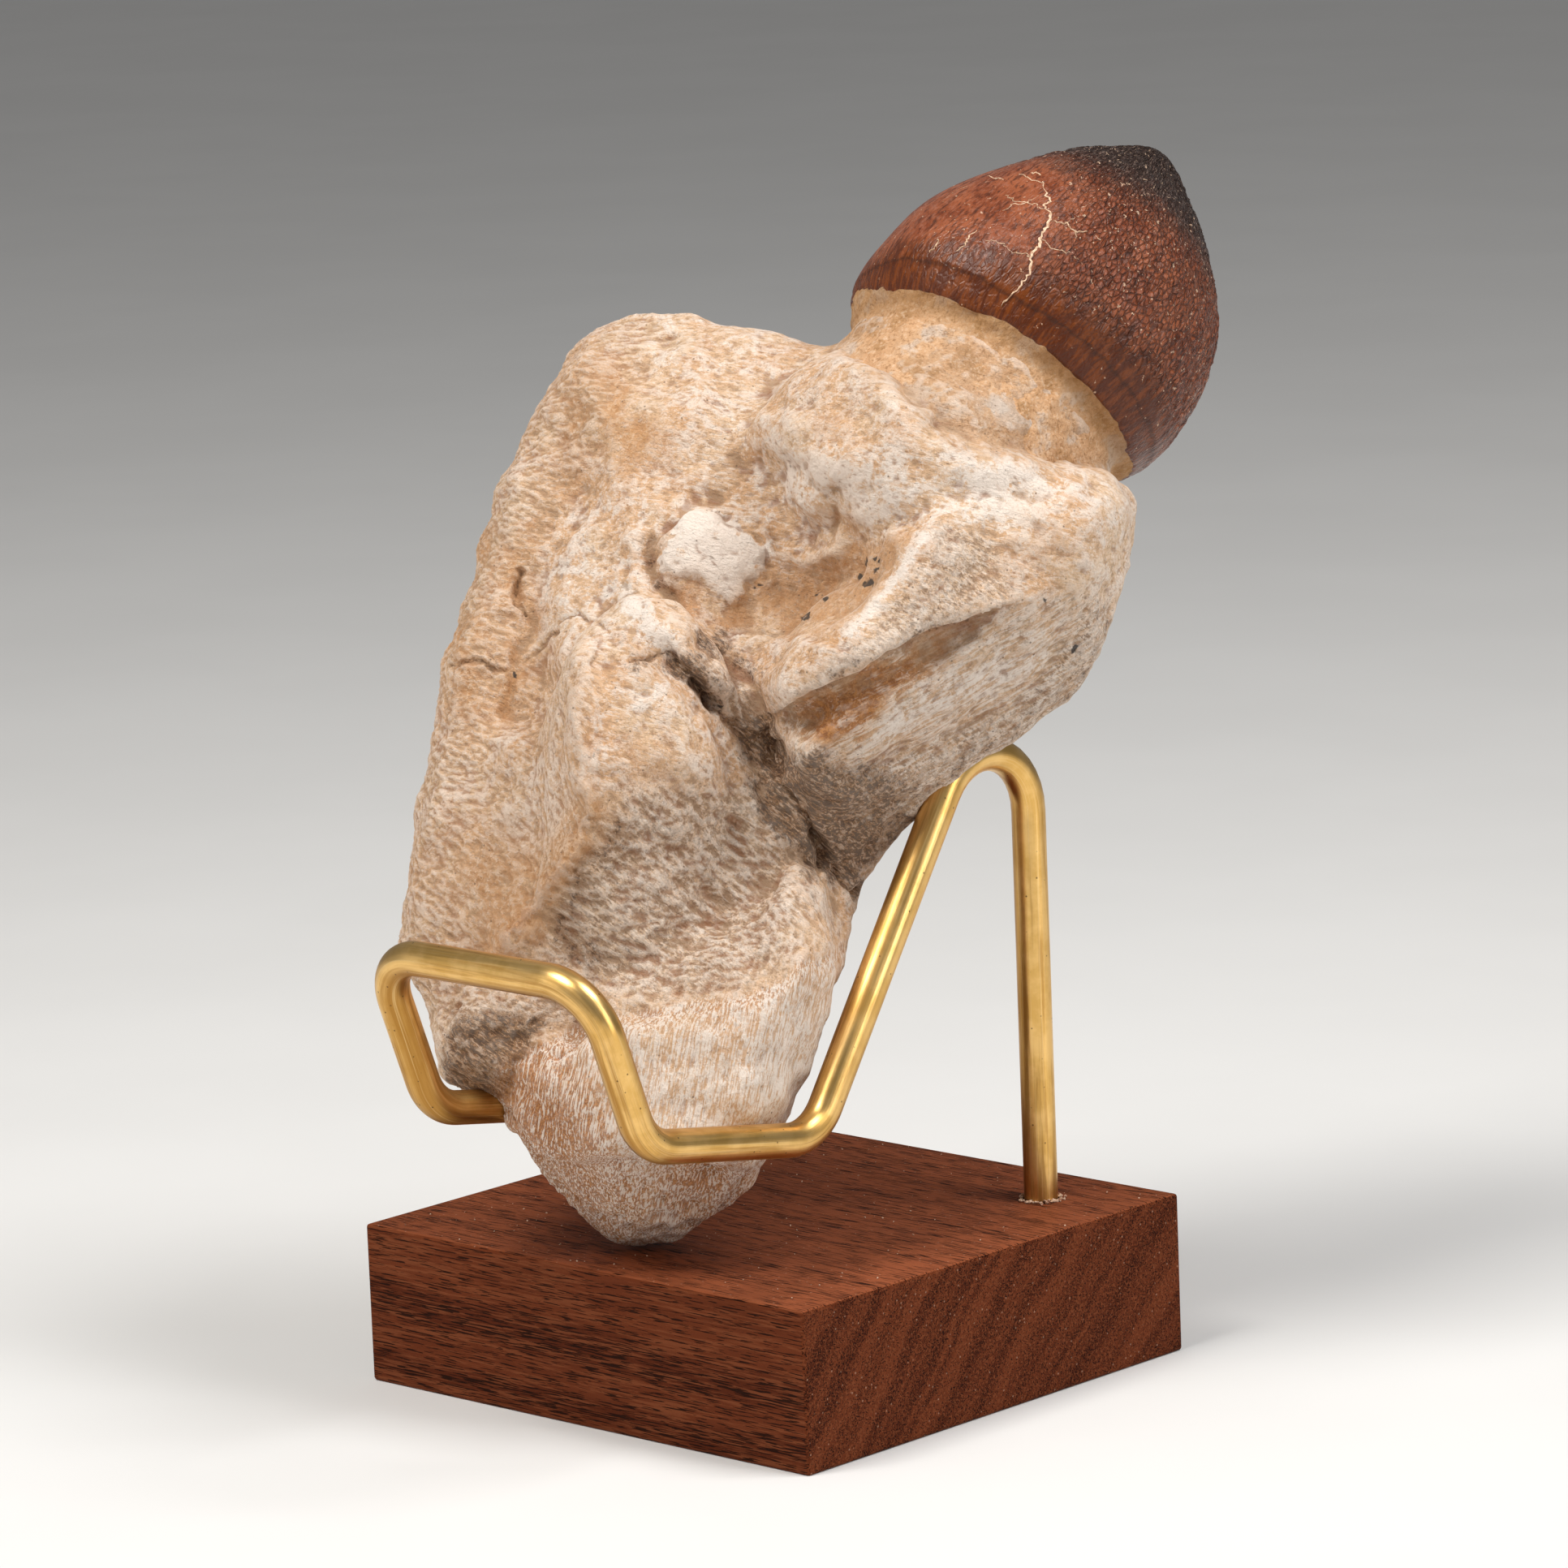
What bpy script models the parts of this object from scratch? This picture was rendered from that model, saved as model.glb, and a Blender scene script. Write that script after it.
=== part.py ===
"""A fossil mosasaur jaw with one crushing tooth, held by a bent brass rod on a walnut block.

The origin is the centre of the block's underside. X runs along the front bar of the stand,
the front faces -Y and Z is up. Driving sizes are in millimetres.
"""
import math

import bmesh
import bpy
import numpy as np
from mathutils import Matrix, Vector, noise

MM = 0.001
GAP = 0.32

# Walnut block
BASE_WIDTH = 70.0
BASE_DEPTH = 65.0
BASE_HEIGHT = 19.0
BASE_EDGE = 0.4
POST_HOLE_DEPTH = 12.5

# Brass rod
ROD_DIAMETER = 4.0
POST_X = 23.35
POST_Y = 21.4
POST_FOOT_Z = 7.0
HAIRPIN_PEAK_Z = 91.7
LEFT_LEG_X = -10.0
SEAT_Y = -17.3
SEAT_Z = 34.1
ARM_END_Y = -44.7
ARM_END_Z = 38.7
BAR_Y = -51.8
BAR_Z = 58.2
LEFT_LEG_LENGTH = 42.0
HAIRPIN_BEND = 8.0
LEG_BEND = 6.5

# The jaw is drawn square to its broad face: right, up and out of that face
FACE_TURN = math.radians(43.34)
FACE_TILT = math.radians(10.94)
FACE_ROLL = math.radians(-2.26)

# Tooth
CROWN_CENTRE = (25.5, 115.7, 9.0)
TOOTH_LEAN = (0.040, 0.725, 0.687)
CROWN_HEIGHT = 35.6
CROWN_RADIUS = 20.7
CROWN_LEAN = 1.6
ROOT_RADIUS = 17.8
ROOT_LENGTH = 20.0
TOOTH_SIDES = 40
COLLAR_RADIUS = 22.0
COLLAR_HEIGHT = 14.0
COLLAR_BELOW = 18.5

TIP_CLEARANCE = 0.6
JAW_VOXEL = 0.9
JAW_TRIANGLES = 5600


def face_axes():
    """Right, up and outward directions of the jaw's broad face."""
    out = Vector((
        math.sin(FACE_TURN) * math.cos(FACE_TILT),
        -math.cos(FACE_TURN) * math.cos(FACE_TILT),
        math.sin(FACE_TILT),
    ))
    level = Vector((math.cos(FACE_TURN), math.sin(FACE_TURN), 0.0))
    rise = out.cross(level)
    right = math.cos(FACE_ROLL) * level + math.sin(FACE_ROLL) * rise
    up = -math.sin(FACE_ROLL) * level + math.cos(FACE_ROLL) * rise
    return np.array([right, up, out])


FACE = face_axes()


def clear_scene():
    for obj in list(bpy.data.objects):
        bpy.data.objects.remove(obj, do_unlink=True)


def make_material(name, colour, roughness, metallic=0.0):
    material = bpy.data.materials.new(name)
    material.use_nodes = True
    shader = material.node_tree.nodes["Principled BSDF"]
    shader.inputs["Base Color"].default_value = (*colour, 1.0)
    shader.inputs["Roughness"].default_value = roughness
    shader.inputs["Metallic"].default_value = metallic
    return material


def add_object(name, data, material=None):
    obj = bpy.data.objects.new(name, data)
    bpy.context.scene.collection.objects.link(obj)
    if material:
        data.materials.append(material)
    return obj


def hide_guide(obj):
    obj.hide_render = True
    obj.display_type = "WIRE"
    return obj


def mesh_from_bmesh(name, bm):
    bmesh.ops.recalc_face_normals(bm, faces=bm.faces)
    mesh = bpy.data.meshes.new(name)
    bm.to_mesh(mesh)
    bm.free()
    return mesh


def smooth_step(low, high, value):
    t = np.clip((value - low) / (high - low), 0.0, 1.0)
    return t * t * (3.0 - 2.0 * t)


def closed_curve(points, steps):
    """Even points on a smooth closed curve through the given points."""
    points = np.array(points, float)
    count = len(points)
    curve = []
    for i in range(count):
        a, b, c, d = (points[(i + k) % count] for k in (-1, 0, 1, 2))
        for t in np.arange(steps) / steps:
            curve.append(0.5 * (
                2 * b + (c - a) * t + (2 * a - 5 * b + 4 * c - d) * t ** 2
                + (3 * b - a - 3 * c + d) * t ** 3
            ))
    return np.array(curve)


def rounded_path(corners, radii, steps=6):
    """A path through the corners, with each inner corner turned as an arc."""
    corners = [Vector(corner) for corner in corners]
    path = [corners[0]]
    for before, corner, after, radius in zip(corners, corners[1:], corners[2:], radii):
        come = (before - corner).normalized()
        leave = (after - corner).normalized()
        half = come.angle(leave) / 2
        centre = corner + (come + leave).normalized() * radius / math.sin(half)
        start = corner + come * radius / math.tan(half) - centre
        turn = start.rotation_difference(corner + leave * radius / math.tan(half) - centre)
        axis, angle = turn.to_axis_angle()
        for step in range(steps + 1):
            path.append(centre + Matrix.Rotation(angle * step / steps, 3, axis) @ start)
    path.append(corners[-1])
    return path


def leg_direction():
    rise = Vector((0.0, POST_Y - SEAT_Y, HAIRPIN_PEAK_Z - SEAT_Z))
    return rise.normalized()


def rod_corners():
    left_top = Vector((LEFT_LEG_X, SEAT_Y, SEAT_Z)) + LEFT_LEG_LENGTH * leg_direction()
    return [
        (POST_X, POST_Y, POST_FOOT_Z),
        (POST_X, POST_Y, HAIRPIN_PEAK_Z),
        (POST_X, SEAT_Y, SEAT_Z),
        (POST_X, ARM_END_Y, ARM_END_Z),
        (POST_X, BAR_Y, BAR_Z),
        (LEFT_LEG_X, BAR_Y, BAR_Z),
        (LEFT_LEG_X, ARM_END_Y, ARM_END_Z),
        (LEFT_LEG_X, SEAT_Y, SEAT_Z),
        tuple(left_top),
    ]


def rod_curve(name, diameter, sides):
    radii = [HAIRPIN_BEND] + [LEG_BEND] * 6
    path = rounded_path(rod_corners(), radii)
    curve = bpy.data.curves.new(name, "CURVE")
    curve.dimensions = "3D"
    curve.bevel_depth = diameter / 2 * MM
    curve.bevel_resolution = sides
    curve.use_fill_caps = True
    spline = curve.splines.new("POLY")
    spline.points.add(len(path) - 1)
    for point, place in zip(spline.points, path):
        point.co = (*(place * MM), 1.0)
    return curve


def make_base(walnut):
    bm = bmesh.new()
    bmesh.ops.create_cube(bm, size=1.0)
    size = Vector((BASE_WIDTH, BASE_DEPTH, BASE_HEIGHT)) * MM
    bmesh.ops.scale(bm, vec=size, verts=bm.verts)
    bmesh.ops.translate(bm, vec=(0, 0, size.z / 2), verts=bm.verts)
    bmesh.ops.bevel(
        bm, geom=bm.edges[:], offset=BASE_EDGE * MM, segments=2, profile=0.5, affect="EDGES"
    )
    base = add_object("base", mesh_from_bmesh("base", bm), walnut)

    bm = bmesh.new()
    radius = (ROD_DIAMETER / 2 + GAP) * MM
    bmesh.ops.create_cone(
        bm, cap_ends=True, segments=24, radius1=radius, radius2=radius, depth=2 * POST_HOLE_DEPTH * MM
    )
    bmesh.ops.translate(bm, vec=Vector((POST_X, POST_Y, BASE_HEIGHT)) * MM, verts=bm.verts)
    hole = hide_guide(add_object("post_hole", mesh_from_bmesh("post_hole", bm)))
    cut = base.modifiers.new("post hole", "BOOLEAN")
    cut.operation = "DIFFERENCE"
    cut.object = hole
    return base


def make_stand(brass):
    return add_object("wire_stand", rod_curve("wire_stand", ROD_DIAMETER, 3), brass)


# Outlines of the jaw's lumps, right and up in the broad face
JAW_BODY = [
    (-23.0, 121.9), (-12.3, 124.6), (-3.0, 122.3), (8.7, 120.0), (20.0, 115.0), (29.0, 107.0),
    (31.0, 98.0), (27.0, 86.0), (18.0, 66.8), (13.3, 57.0), (6.5, 46.0), (-7.2, 38.5),
    (-20.0, 36.5), (-32.6, 33.6), (-39.2, 37.0), (-42.6, 45.5), (-43.6, 53.2), (-42.4, 64.0),
    (-40.3, 76.0), (-37.4, 87.5), (-34.3, 99.0), (-30.5, 108.9), (-27.1, 115.6),
]
LOWER_LOBE = [
    (-30.0, 40.0), (-22.0, 48.0), (-8.0, 54.0), (5.5, 57.0), (9.8, 54.9), (7.2, 46.5),
    (3.9, 37.0), (0.6, 28.4), (-4.6, 21.2), (-11.2, 16.3), (-15.5, 15.1), (-23.0, 17.6),
    (-30.0, 24.0), (-31.6, 32.8),
]
KNUCKLE = [
    (22.0, 104.5), (30.8, 105.0), (36.6, 104.6), (40.8, 99.8), (40.9, 94.3), (37.4, 86.0),
    (33.6, 77.6), (25.7, 71.9), (15.5, 66.4), (7.0, 65.5), (0.6, 69.0), (-2.0, 75.0),
    (0.2, 84.0), (7.6, 92.5), (14.0, 99.5),
]


def body_depth(right, up):
    return 26.0 - 0.30 * (up - 53.0) + 0.18 * right


def lobe_depth(right, up):
    return 28.5 - 0.75 * np.maximum(27.0 - up, 0.0) + 0.15 * (right + 14.0)


def knuckle_depth(right, up):
    return 27.0 - 0.10 * (up - 85.0) - 0.10 * (right - 20.0)


def add_lump(bm, outline, depth_of, front, back, fullness=0.62, rings=14):
    """A pebble with the given outline, thick at its middle and rounded at its rim."""
    rim = closed_curve(outline, 5)
    middle = rim.mean(axis=0)
    loops = []
    for step in range(1, rings):
        turn = math.pi * (step / rings - 0.5)
        spread = math.cos(turn) ** fullness
        rise = abs(math.sin(turn)) ** (2.0 - fullness) * (front if turn > 0 else -back)
        ring = middle + (rim - middle) * spread
        depth = depth_of(ring[:, 0], ring[:, 1]) + rise
        places = np.column_stack([ring, depth]) @ FACE * MM
        loops.append([bm.verts.new(place) for place in places])
    for low, high in zip(loops, loops[1:]):
        for i in range(len(rim)):
            j = (i + 1) % len(rim)
            bm.faces.new((low[i], low[j], high[j], high[i]))
    bm.faces.new(list(reversed(loops[0])))
    bm.faces.new(loops[-1])


def add_ball(bm, centre, radii):
    """An egg-shaped lump given in face directions."""
    made = bmesh.ops.create_icosphere(bm, subdivisions=3, radius=1.0)
    for vert in made["verts"]:
        local = np.array(vert.co) * np.array(radii) + np.array(centre)
        vert.co = Vector(local @ FACE * MM)


def add_collar(bm):
    """The swelling of the jaw that grips the foot of the tooth."""
    made = bmesh.ops.create_icosphere(bm, subdivisions=3, radius=MM)
    size = Matrix.Diagonal((COLLAR_RADIUS, COLLAR_RADIUS, COLLAR_HEIGHT, 1.0))
    place = tooth_frame() @ Matrix.Translation((0, 0, -COLLAR_BELOW * MM)) @ size
    bmesh.ops.transform(bm, matrix=place, verts=made["verts"])


def rough_jaw():
    bm = bmesh.new()
    add_lump(bm, JAW_BODY, body_depth, front=12.0, back=13.0)
    add_lump(bm, LOWER_LOBE, lobe_depth, front=12.0, back=11.5)
    add_lump(bm, KNUCKLE, knuckle_depth, front=14.0, back=10.0, fullness=0.5)
    add_collar(bm)
    # Plate that stands out beside the fissure
    add_ball(bm, (-15.0, 66.0, 27.0), (13.0, 24.0, 12.5))
    # Broken lump at the lower left
    add_ball(bm, (-33.5, 39.5, 23.5), (7.0, 7.0, 8.0))
    return mesh_from_bmesh("rough_jaw", bm)


# Relief of the broad face: the course in right and up, the reach and the height
RELIEF = [
    # Sharp ridge across the knuckle and the groove below it
    ([(2.5, 79.1), (7.5, 84.6), (13.0, 91.4), (17.5, 97.3)], 3.6, 2.6),
    ([(0.2, 76.3), (11.1, 81.4), (22.1, 87.3)], 2.6, -1.8),
    ([(17.6, 102.1), (25.0, 101.2), (34.0, 98.4)], 6.0, 2.0),
    # Sunken floor between the knob and the knuckle
    ([(-4.0, 91.1), (3.8, 90.5), (11.5, 95.5)], 6.5, -3.4),
    # Knob and the round boss beside it
    ([(-8.6, 95.2), (-7.4, 93.4)], 7.5, 3.0),
    ([(3.4, 99.0)], 4.6, 1.8),
    ([(-14.5, 93.8), (-11.8, 99.5), (-7.2, 101.2)], 1.8, -1.3),
    # Fissure between the plate and the knuckle, and its raised upper lip
    ([(-18.1, 84.6), (-11.7, 82.3), (-6.2, 77.3), (-2.6, 72.7), (-0.7, 68.1), (3.8, 62.6),
      (6.6, 58.0), (9.5, 55.3)], 2.8, -2.8),
    ([(-11.7, 87.3), (-7.2, 83.7), (-2.6, 79.1)], 2.6, 1.6),
    # Edge of the plate and the hollow grey face right of it
    ([(-21.8, 81.8), (-20.4, 65.4), (-24.6, 57.1), (-29.1, 51.6)], 4.0, 2.4),
    ([(-9.9, 58.0), (-8.0, 62.0)], 10.0, -3.0),
    # Margin strip on the left, with the valley inside it
    ([(-22.2, 117.6), (-29.7, 105.4), (-34.4, 91.4), (-37.2, 79.3), (-39.0, 69.0), (-40.9, 57.8)], 4.0, 1.0),
    ([(-23.9, 102.3), (-28.5, 94.9), (-29.4, 87.5), (-28.5, 80.1), (-30.3, 77.4)], 4.0, -2.4),
    # Ledge above the fibrous lower lobe
    ([(-23.6, 42.5), (-11.7, 44.8), (0.2, 48.0), (3.8, 48.9)], 2.8, -2.4),
    ([(-33.8, 48.8), (-23.7, 43.3)], 3.0, -1.4),
    # Brow that runs from the top of the jaw to the foot of the tooth
    ([(-18.4, 111.7), (-5.4, 109.8), (3.9, 106.1), (13.1, 102.4)], 5.0, 1.4),
    ([(-13.1, 120.4)], 1.6, -1.2),
]

# Relief of the hidden side: the long canal of the jaw, its rounded keel and two hollows
BACK_RELIEF = [
    ([(-30.0, 100.0), (-27.0, 80.0), (-26.0, 58.0)], 4.0, -2.6),
    ([(-18.0, 108.0), (-12.0, 84.0), (-12.0, 60.0), (-16.0, 44.0)], 6.0, 2.2),
    ([(2.0, 92.0), (6.0, 82.0)], 7.0, -2.6),
    ([(-14.0, 30.0), (-8.0, 40.0)], 5.0, -1.6),
]

# Flat and broken faces: a point on each, its outward direction and how far around it reaches
FACETS = [
    ((14.0, 76.0, 36.0), (0.42, -0.62, 0.66), 26.0),
    ((-14.0, 19.0, 26.0), (0.10, -0.55, 0.83), 13.0),
    ((-24.0, 22.0, 22.0), (-0.62, -0.60, 0.50), 10.0),
]


def distance_to_course(points, course):
    """Distance in the face from each point to a bent line."""
    course = np.array(course, float)
    if len(course) == 1:
        return np.linalg.norm(points - course[0], axis=1)
    best = np.full(len(points), np.inf)
    for start, end in zip(course, course[1:]):
        along = end - start
        t = np.clip((points - start) @ along / (along @ along), 0.0, 1.0)
        near = start + t[:, None] * along
        best = np.minimum(best, np.linalg.norm(points - near, axis=1))
    return best


def vertex_arrays(mesh):
    count = len(mesh.vertices)
    places = np.empty(3 * count)
    normals = np.empty(3 * count)
    mesh.vertices.foreach_get("co", places)
    mesh.vertices.foreach_get("normal", normals)
    return places.reshape(-1, 3) / MM, normals.reshape(-1, 3)


def sculpt_jaw(mesh):
    """Carves the relief, the flat faces and the lumpy surface of the bone."""
    places, normals = vertex_arrays(mesh)
    face = places @ FACE.T
    outward = normals @ FACE[2]
    lift = np.zeros(len(face))
    for side, strokes in ((1.0, RELIEF), (-1.0, BACK_RELIEF)):
        facing = smooth_step(0.05, 0.55, side * outward)
        for course, reach, height in strokes:
            near = distance_to_course(face[:, :2], course) / reach
            lift += height * np.exp(-near ** 2 * 1.4) * facing
    for i, place in enumerate(places):
        broad = noise.noise(Vector(place * 0.085))
        lumps = noise.noise(Vector(place * 0.24 + 9.0))
        lift[i] += 1.1 * broad + 0.7 * lumps
    places = places + normals * lift[:, None]
    for point, outward, reach in FACETS:
        outward = np.array(outward) @ FACE
        outward = outward / np.linalg.norm(outward)
        point = np.array(point) @ FACE
        above = np.maximum((places - point) @ outward, 0.0)
        weight = 1.0 - smooth_step(0.8, 1.2, np.linalg.norm(places - point, axis=1) / reach)
        places = places - outward * (above * weight * 0.9)[:, None]
    places[:, 2] = np.maximum(places[:, 2], BASE_HEIGHT + TIP_CLEARANCE)
    mesh.vertices.foreach_set("co", (places * MM).ravel())
    mesh.update()


def evaluated_mesh(obj, name):
    graph = bpy.context.evaluated_depsgraph_get()
    mesh = bpy.data.meshes.new_from_object(obj.evaluated_get(graph))
    mesh.name = name
    bpy.data.objects.remove(obj, do_unlink=True)
    return mesh


def tooth_profile(root_radius, root_length, grow=0.0):
    """Radius and height from the crown's margin, from the foot of the root to the tip."""
    shoulder = CROWN_RADIUS
    return [
        (root_radius * 0.80 + grow, -root_length - grow),
        (root_radius * 0.98 + grow, -0.88 * root_length),
        (root_radius * 1.06 + grow, -0.75 * root_length),
        (root_radius * 1.04 + grow, -0.60 * root_length),
        (root_radius * 1.00 + grow, -0.42 * root_length),
        (root_radius * 0.99 + grow, -0.22 * root_length),
        (root_radius * 1.04 + grow, -0.05 * root_length),
        (shoulder * 0.94, 0.0),
        (shoulder * 0.985, 2.0),
        (shoulder * 1.00, 4.5),
        (shoulder * 0.98, 9.0),
        (shoulder * 0.92, 14.0),
        (shoulder * 0.83, 18.5),
        (shoulder * 0.70, 22.8),
        (shoulder * 0.545, 26.6),
        (shoulder * 0.395, 29.6),
        (shoulder * 0.26, 32.0),
        (shoulder * 0.155, 33.9),
        (shoulder * 0.075, CROWN_HEIGHT - 0.5),
    ]


def tooth_frame():
    """Where the crown's margin lies, with the tooth's own axis as the frame's Z."""
    axis = Vector(TOOTH_LEAN).normalized()
    side = Vector((1.0, 0.0, 0.0))
    side = (side - axis * side.dot(axis)).normalized()
    turn = Matrix((side, axis.cross(side), axis)).transposed().to_4x4()
    centre = Vector(np.array(CROWN_CENTRE) @ FACE * MM)
    return Matrix.Translation(centre) @ turn


def crown_lean(height):
    """How far the crown leans over sideways at a height, all of it by half way up."""
    share = min(max(2 * height / CROWN_HEIGHT, 0.0), 1.0)
    return CROWN_LEAN * math.sin(math.pi / 2 * share)


def tooth_mesh(name, grow=0.0):
    profile = tooth_profile(ROOT_RADIUS, ROOT_LENGTH, grow)
    bm = bmesh.new()
    rings = []
    for radius, height in profile:
        ring = []
        for k in range(TOOTH_SIDES):
            angle = 2 * math.pi * k / TOOTH_SIDES
            wave = 1.0 + 0.012 * math.sin(3 * angle + 0.7) + 0.008 * math.sin(7 * angle + height * 0.2)
            place = Vector((math.cos(angle) * radius * wave, math.sin(angle) * radius * wave, height))
            place.x += crown_lean(height)
            ring.append(bm.verts.new(place * MM))
        rings.append(ring)
    for low, high in zip(rings, rings[1:]):
        for k in range(TOOTH_SIDES):
            j = (k + 1) % TOOTH_SIDES
            bm.faces.new((low[k], low[j], high[j], high[k]))
    bm.faces.new(list(reversed(rings[0])))
    tip = bm.verts.new(Vector((crown_lean(CROWN_HEIGHT), 0, CROWN_HEIGHT)) * MM)
    for k in range(TOOTH_SIDES):
        bm.faces.new((rings[-1][k], rings[-1][(k + 1) % TOOTH_SIDES], tip))
    mesh = mesh_from_bmesh(name, bm)
    mesh.transform(tooth_frame())
    return mesh


def make_tooth(enamel):
    tooth = add_object("tooth", tooth_mesh("tooth"), enamel)
    tooth.data.shade_smooth()
    return tooth


def one_body(mesh, passes):
    """The mesh's lumps grown together in one skin, relaxed by so many passes."""
    body = add_object("body", mesh)
    remesh = body.modifiers.new("one body", "REMESH")
    remesh.mode = "VOXEL"
    remesh.voxel_size = JAW_VOXEL * MM
    relax = body.modifiers.new("relax", "SMOOTH")
    relax.factor = 0.5
    relax.iterations = passes
    return evaluated_mesh(body, "jaw_bone")


def make_jaw(bone):
    mesh = one_body(rough_jaw(), 8)
    sculpt_jaw(mesh)
    mesh = one_body(mesh, 2)

    jaw = add_object("jaw_bone", mesh, bone)
    fewer = jaw.modifiers.new("fewer faces", "DECIMATE")
    triangles = sum(len(face.vertices) - 2 for face in mesh.polygons)
    fewer.ratio = min(1.0, JAW_TRIANGLES / triangles)
    fewer.use_collapse_triangulate = True

    socket = hide_guide(add_object("socket_form", tooth_mesh("socket_form", GAP)))
    thick_rod = add_object("rod_form", rod_curve("rod_form", ROD_DIAMETER + 2 * GAP, 3))
    rod_form = hide_guide(add_object("rod_form", evaluated_mesh(thick_rod, "rod_form")))
    for cutter in (socket, rod_form):
        cut = jaw.modifiers.new(cutter.name, "BOOLEAN")
        cut.operation = "DIFFERENCE"
        cut.object = cutter
    return jaw


def main():
    clear_scene()
    walnut = make_material("walnut", (0.13, 0.055, 0.035), 0.55)
    brass = make_material("brass", (0.62, 0.43, 0.15), 0.30, metallic=1.0)
    bone = make_material("bone", (0.68, 0.52, 0.38), 0.85)
    enamel = make_material("enamel", (0.16, 0.06, 0.035), 0.40)
    make_base(walnut)
    make_stand(brass)
    make_tooth(enamel)
    make_jaw(bone)


main()
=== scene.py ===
"""Looks of a fossil mosasaur jaw with one crushing tooth, on a bent brass rod and a walnut block.

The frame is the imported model's, in metres. Driving sizes are in millimetres, as in the model.
"""
import math

import bmesh
import bpy
import numpy as np
from mathutils import Matrix, Vector, kdtree, noise


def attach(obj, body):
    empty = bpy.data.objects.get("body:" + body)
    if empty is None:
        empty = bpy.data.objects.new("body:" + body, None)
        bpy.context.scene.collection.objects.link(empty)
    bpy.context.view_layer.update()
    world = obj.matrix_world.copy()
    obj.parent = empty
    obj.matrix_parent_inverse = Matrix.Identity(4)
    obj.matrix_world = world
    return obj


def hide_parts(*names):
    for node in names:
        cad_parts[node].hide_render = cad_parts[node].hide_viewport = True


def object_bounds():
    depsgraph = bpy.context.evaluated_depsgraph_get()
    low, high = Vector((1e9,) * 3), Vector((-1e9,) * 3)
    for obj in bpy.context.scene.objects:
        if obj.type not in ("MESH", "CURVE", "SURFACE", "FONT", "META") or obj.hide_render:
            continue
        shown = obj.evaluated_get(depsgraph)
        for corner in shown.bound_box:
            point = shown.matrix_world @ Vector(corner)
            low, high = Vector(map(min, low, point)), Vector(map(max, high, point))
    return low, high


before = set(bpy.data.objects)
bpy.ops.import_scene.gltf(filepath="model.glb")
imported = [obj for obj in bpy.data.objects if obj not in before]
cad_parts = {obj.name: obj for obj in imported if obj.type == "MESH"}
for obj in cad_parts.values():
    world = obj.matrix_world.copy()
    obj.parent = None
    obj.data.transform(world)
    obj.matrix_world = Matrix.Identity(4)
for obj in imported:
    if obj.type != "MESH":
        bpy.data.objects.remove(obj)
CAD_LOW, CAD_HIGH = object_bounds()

MM = 0.001

# Walnut block
BASE_WIDTH = 70.0
BASE_DEPTH = 65.0
BASE_HEIGHT = 19.0

# Brass rod
ROD_DIAMETER = 4.0
POST_X = 23.35
POST_Y = 21.4
POST_FOOT_Z = 7.0
HAIRPIN_PEAK_Z = 91.7
LEFT_LEG_X = -10.0
SEAT_Y = -17.3
SEAT_Z = 34.1
ARM_END_Y = -44.7
ARM_END_Z = 38.7
BAR_Y = -51.8
BAR_Z = 58.2
LEFT_LEG_LENGTH = 42.0
HAIRPIN_BEND = 8.0
LEG_BEND = 6.5
ROD_SIDES = 40
ROD_SPACING = 1.2
ROD_BEND_STEPS = 14
ROD_END_SHARE = 0.86

# The jaw is drawn square to its broad face: right, up and out of that face
FACE_TURN = math.radians(43.34)
FACE_TILT = math.radians(10.944)
FACE_ROLL = math.radians(-2.257)

# Tooth
CROWN_CENTRE = (25.5, 115.7, 9.0)
TOOTH_LEAN = (0.040, 0.725, 0.687)
CROWN_HEIGHT = 34.8
CROWN_RADIUS = 20.7
CROWN_LEAN = 1.6
TIP_LEAN = 1.4
ROOT_RADIUS = 17.8
ROOT_LENGTH = 20.0
COLLAR_RADIUS = 22.0
COLLAR_HEIGHT = 14.0
COLLAR_BELOW = 18.5
# Directions round the crown, in degrees from its right
UPPER_LEFT = 222.0
LOWER_RIGHT = 42.0
MARGIN_DIP = 322.0
TOOTH_SIDES = 440
TOOTH_RINGS = 205

# Fineness of the jaw
FORM_VOXEL = 0.6
FINE_VOXEL = 0.34
FORM_PASSES = 18
JOIN_PASSES = 26
FINE_PASSES = 6
JAW_TRIANGLES = 190000
TIP_CLEARANCE = 0.6
ROD_CLEARANCE = 0.06
FINE_TIP_CLEARANCE = 0.15
BOX_MARGIN = 0.01

# Crumbs of glue round the post and specks of dust on the block
GLUE_CRUMBS = 64
DUST_SPECKS = 210

# Seeds of the random draws
CRUMB_SEED = 5
PIT_SEED = 7
CRACK_SEED = 11

# Camera, in the directions of the broad face
LENS = 172.65
SENSOR = 36.0
CAMERA_ASIDE = 0.7219
CAMERA_RISE = 68.4754
CAMERA_DISTANCE = 886.6


def face_axes():
    """Right, up and outward directions of the jaw's broad face."""
    out = Vector((
        math.sin(FACE_TURN) * math.cos(FACE_TILT),
        -math.cos(FACE_TURN) * math.cos(FACE_TILT),
        math.sin(FACE_TILT),
    ))
    level = Vector((math.cos(FACE_TURN), math.sin(FACE_TURN), 0.0))
    rise = out.cross(level)
    right = math.cos(FACE_ROLL) * level + math.sin(FACE_ROLL) * rise
    up = -math.sin(FACE_ROLL) * level + math.cos(FACE_ROLL) * rise
    return np.array([right, up, out])


FACE = face_axes()


def smooth_step(low, high, value):
    t = np.clip((value - low) / (high - low), 0.0, 1.0)
    return t * t * (3.0 - 2.0 * t)


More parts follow.
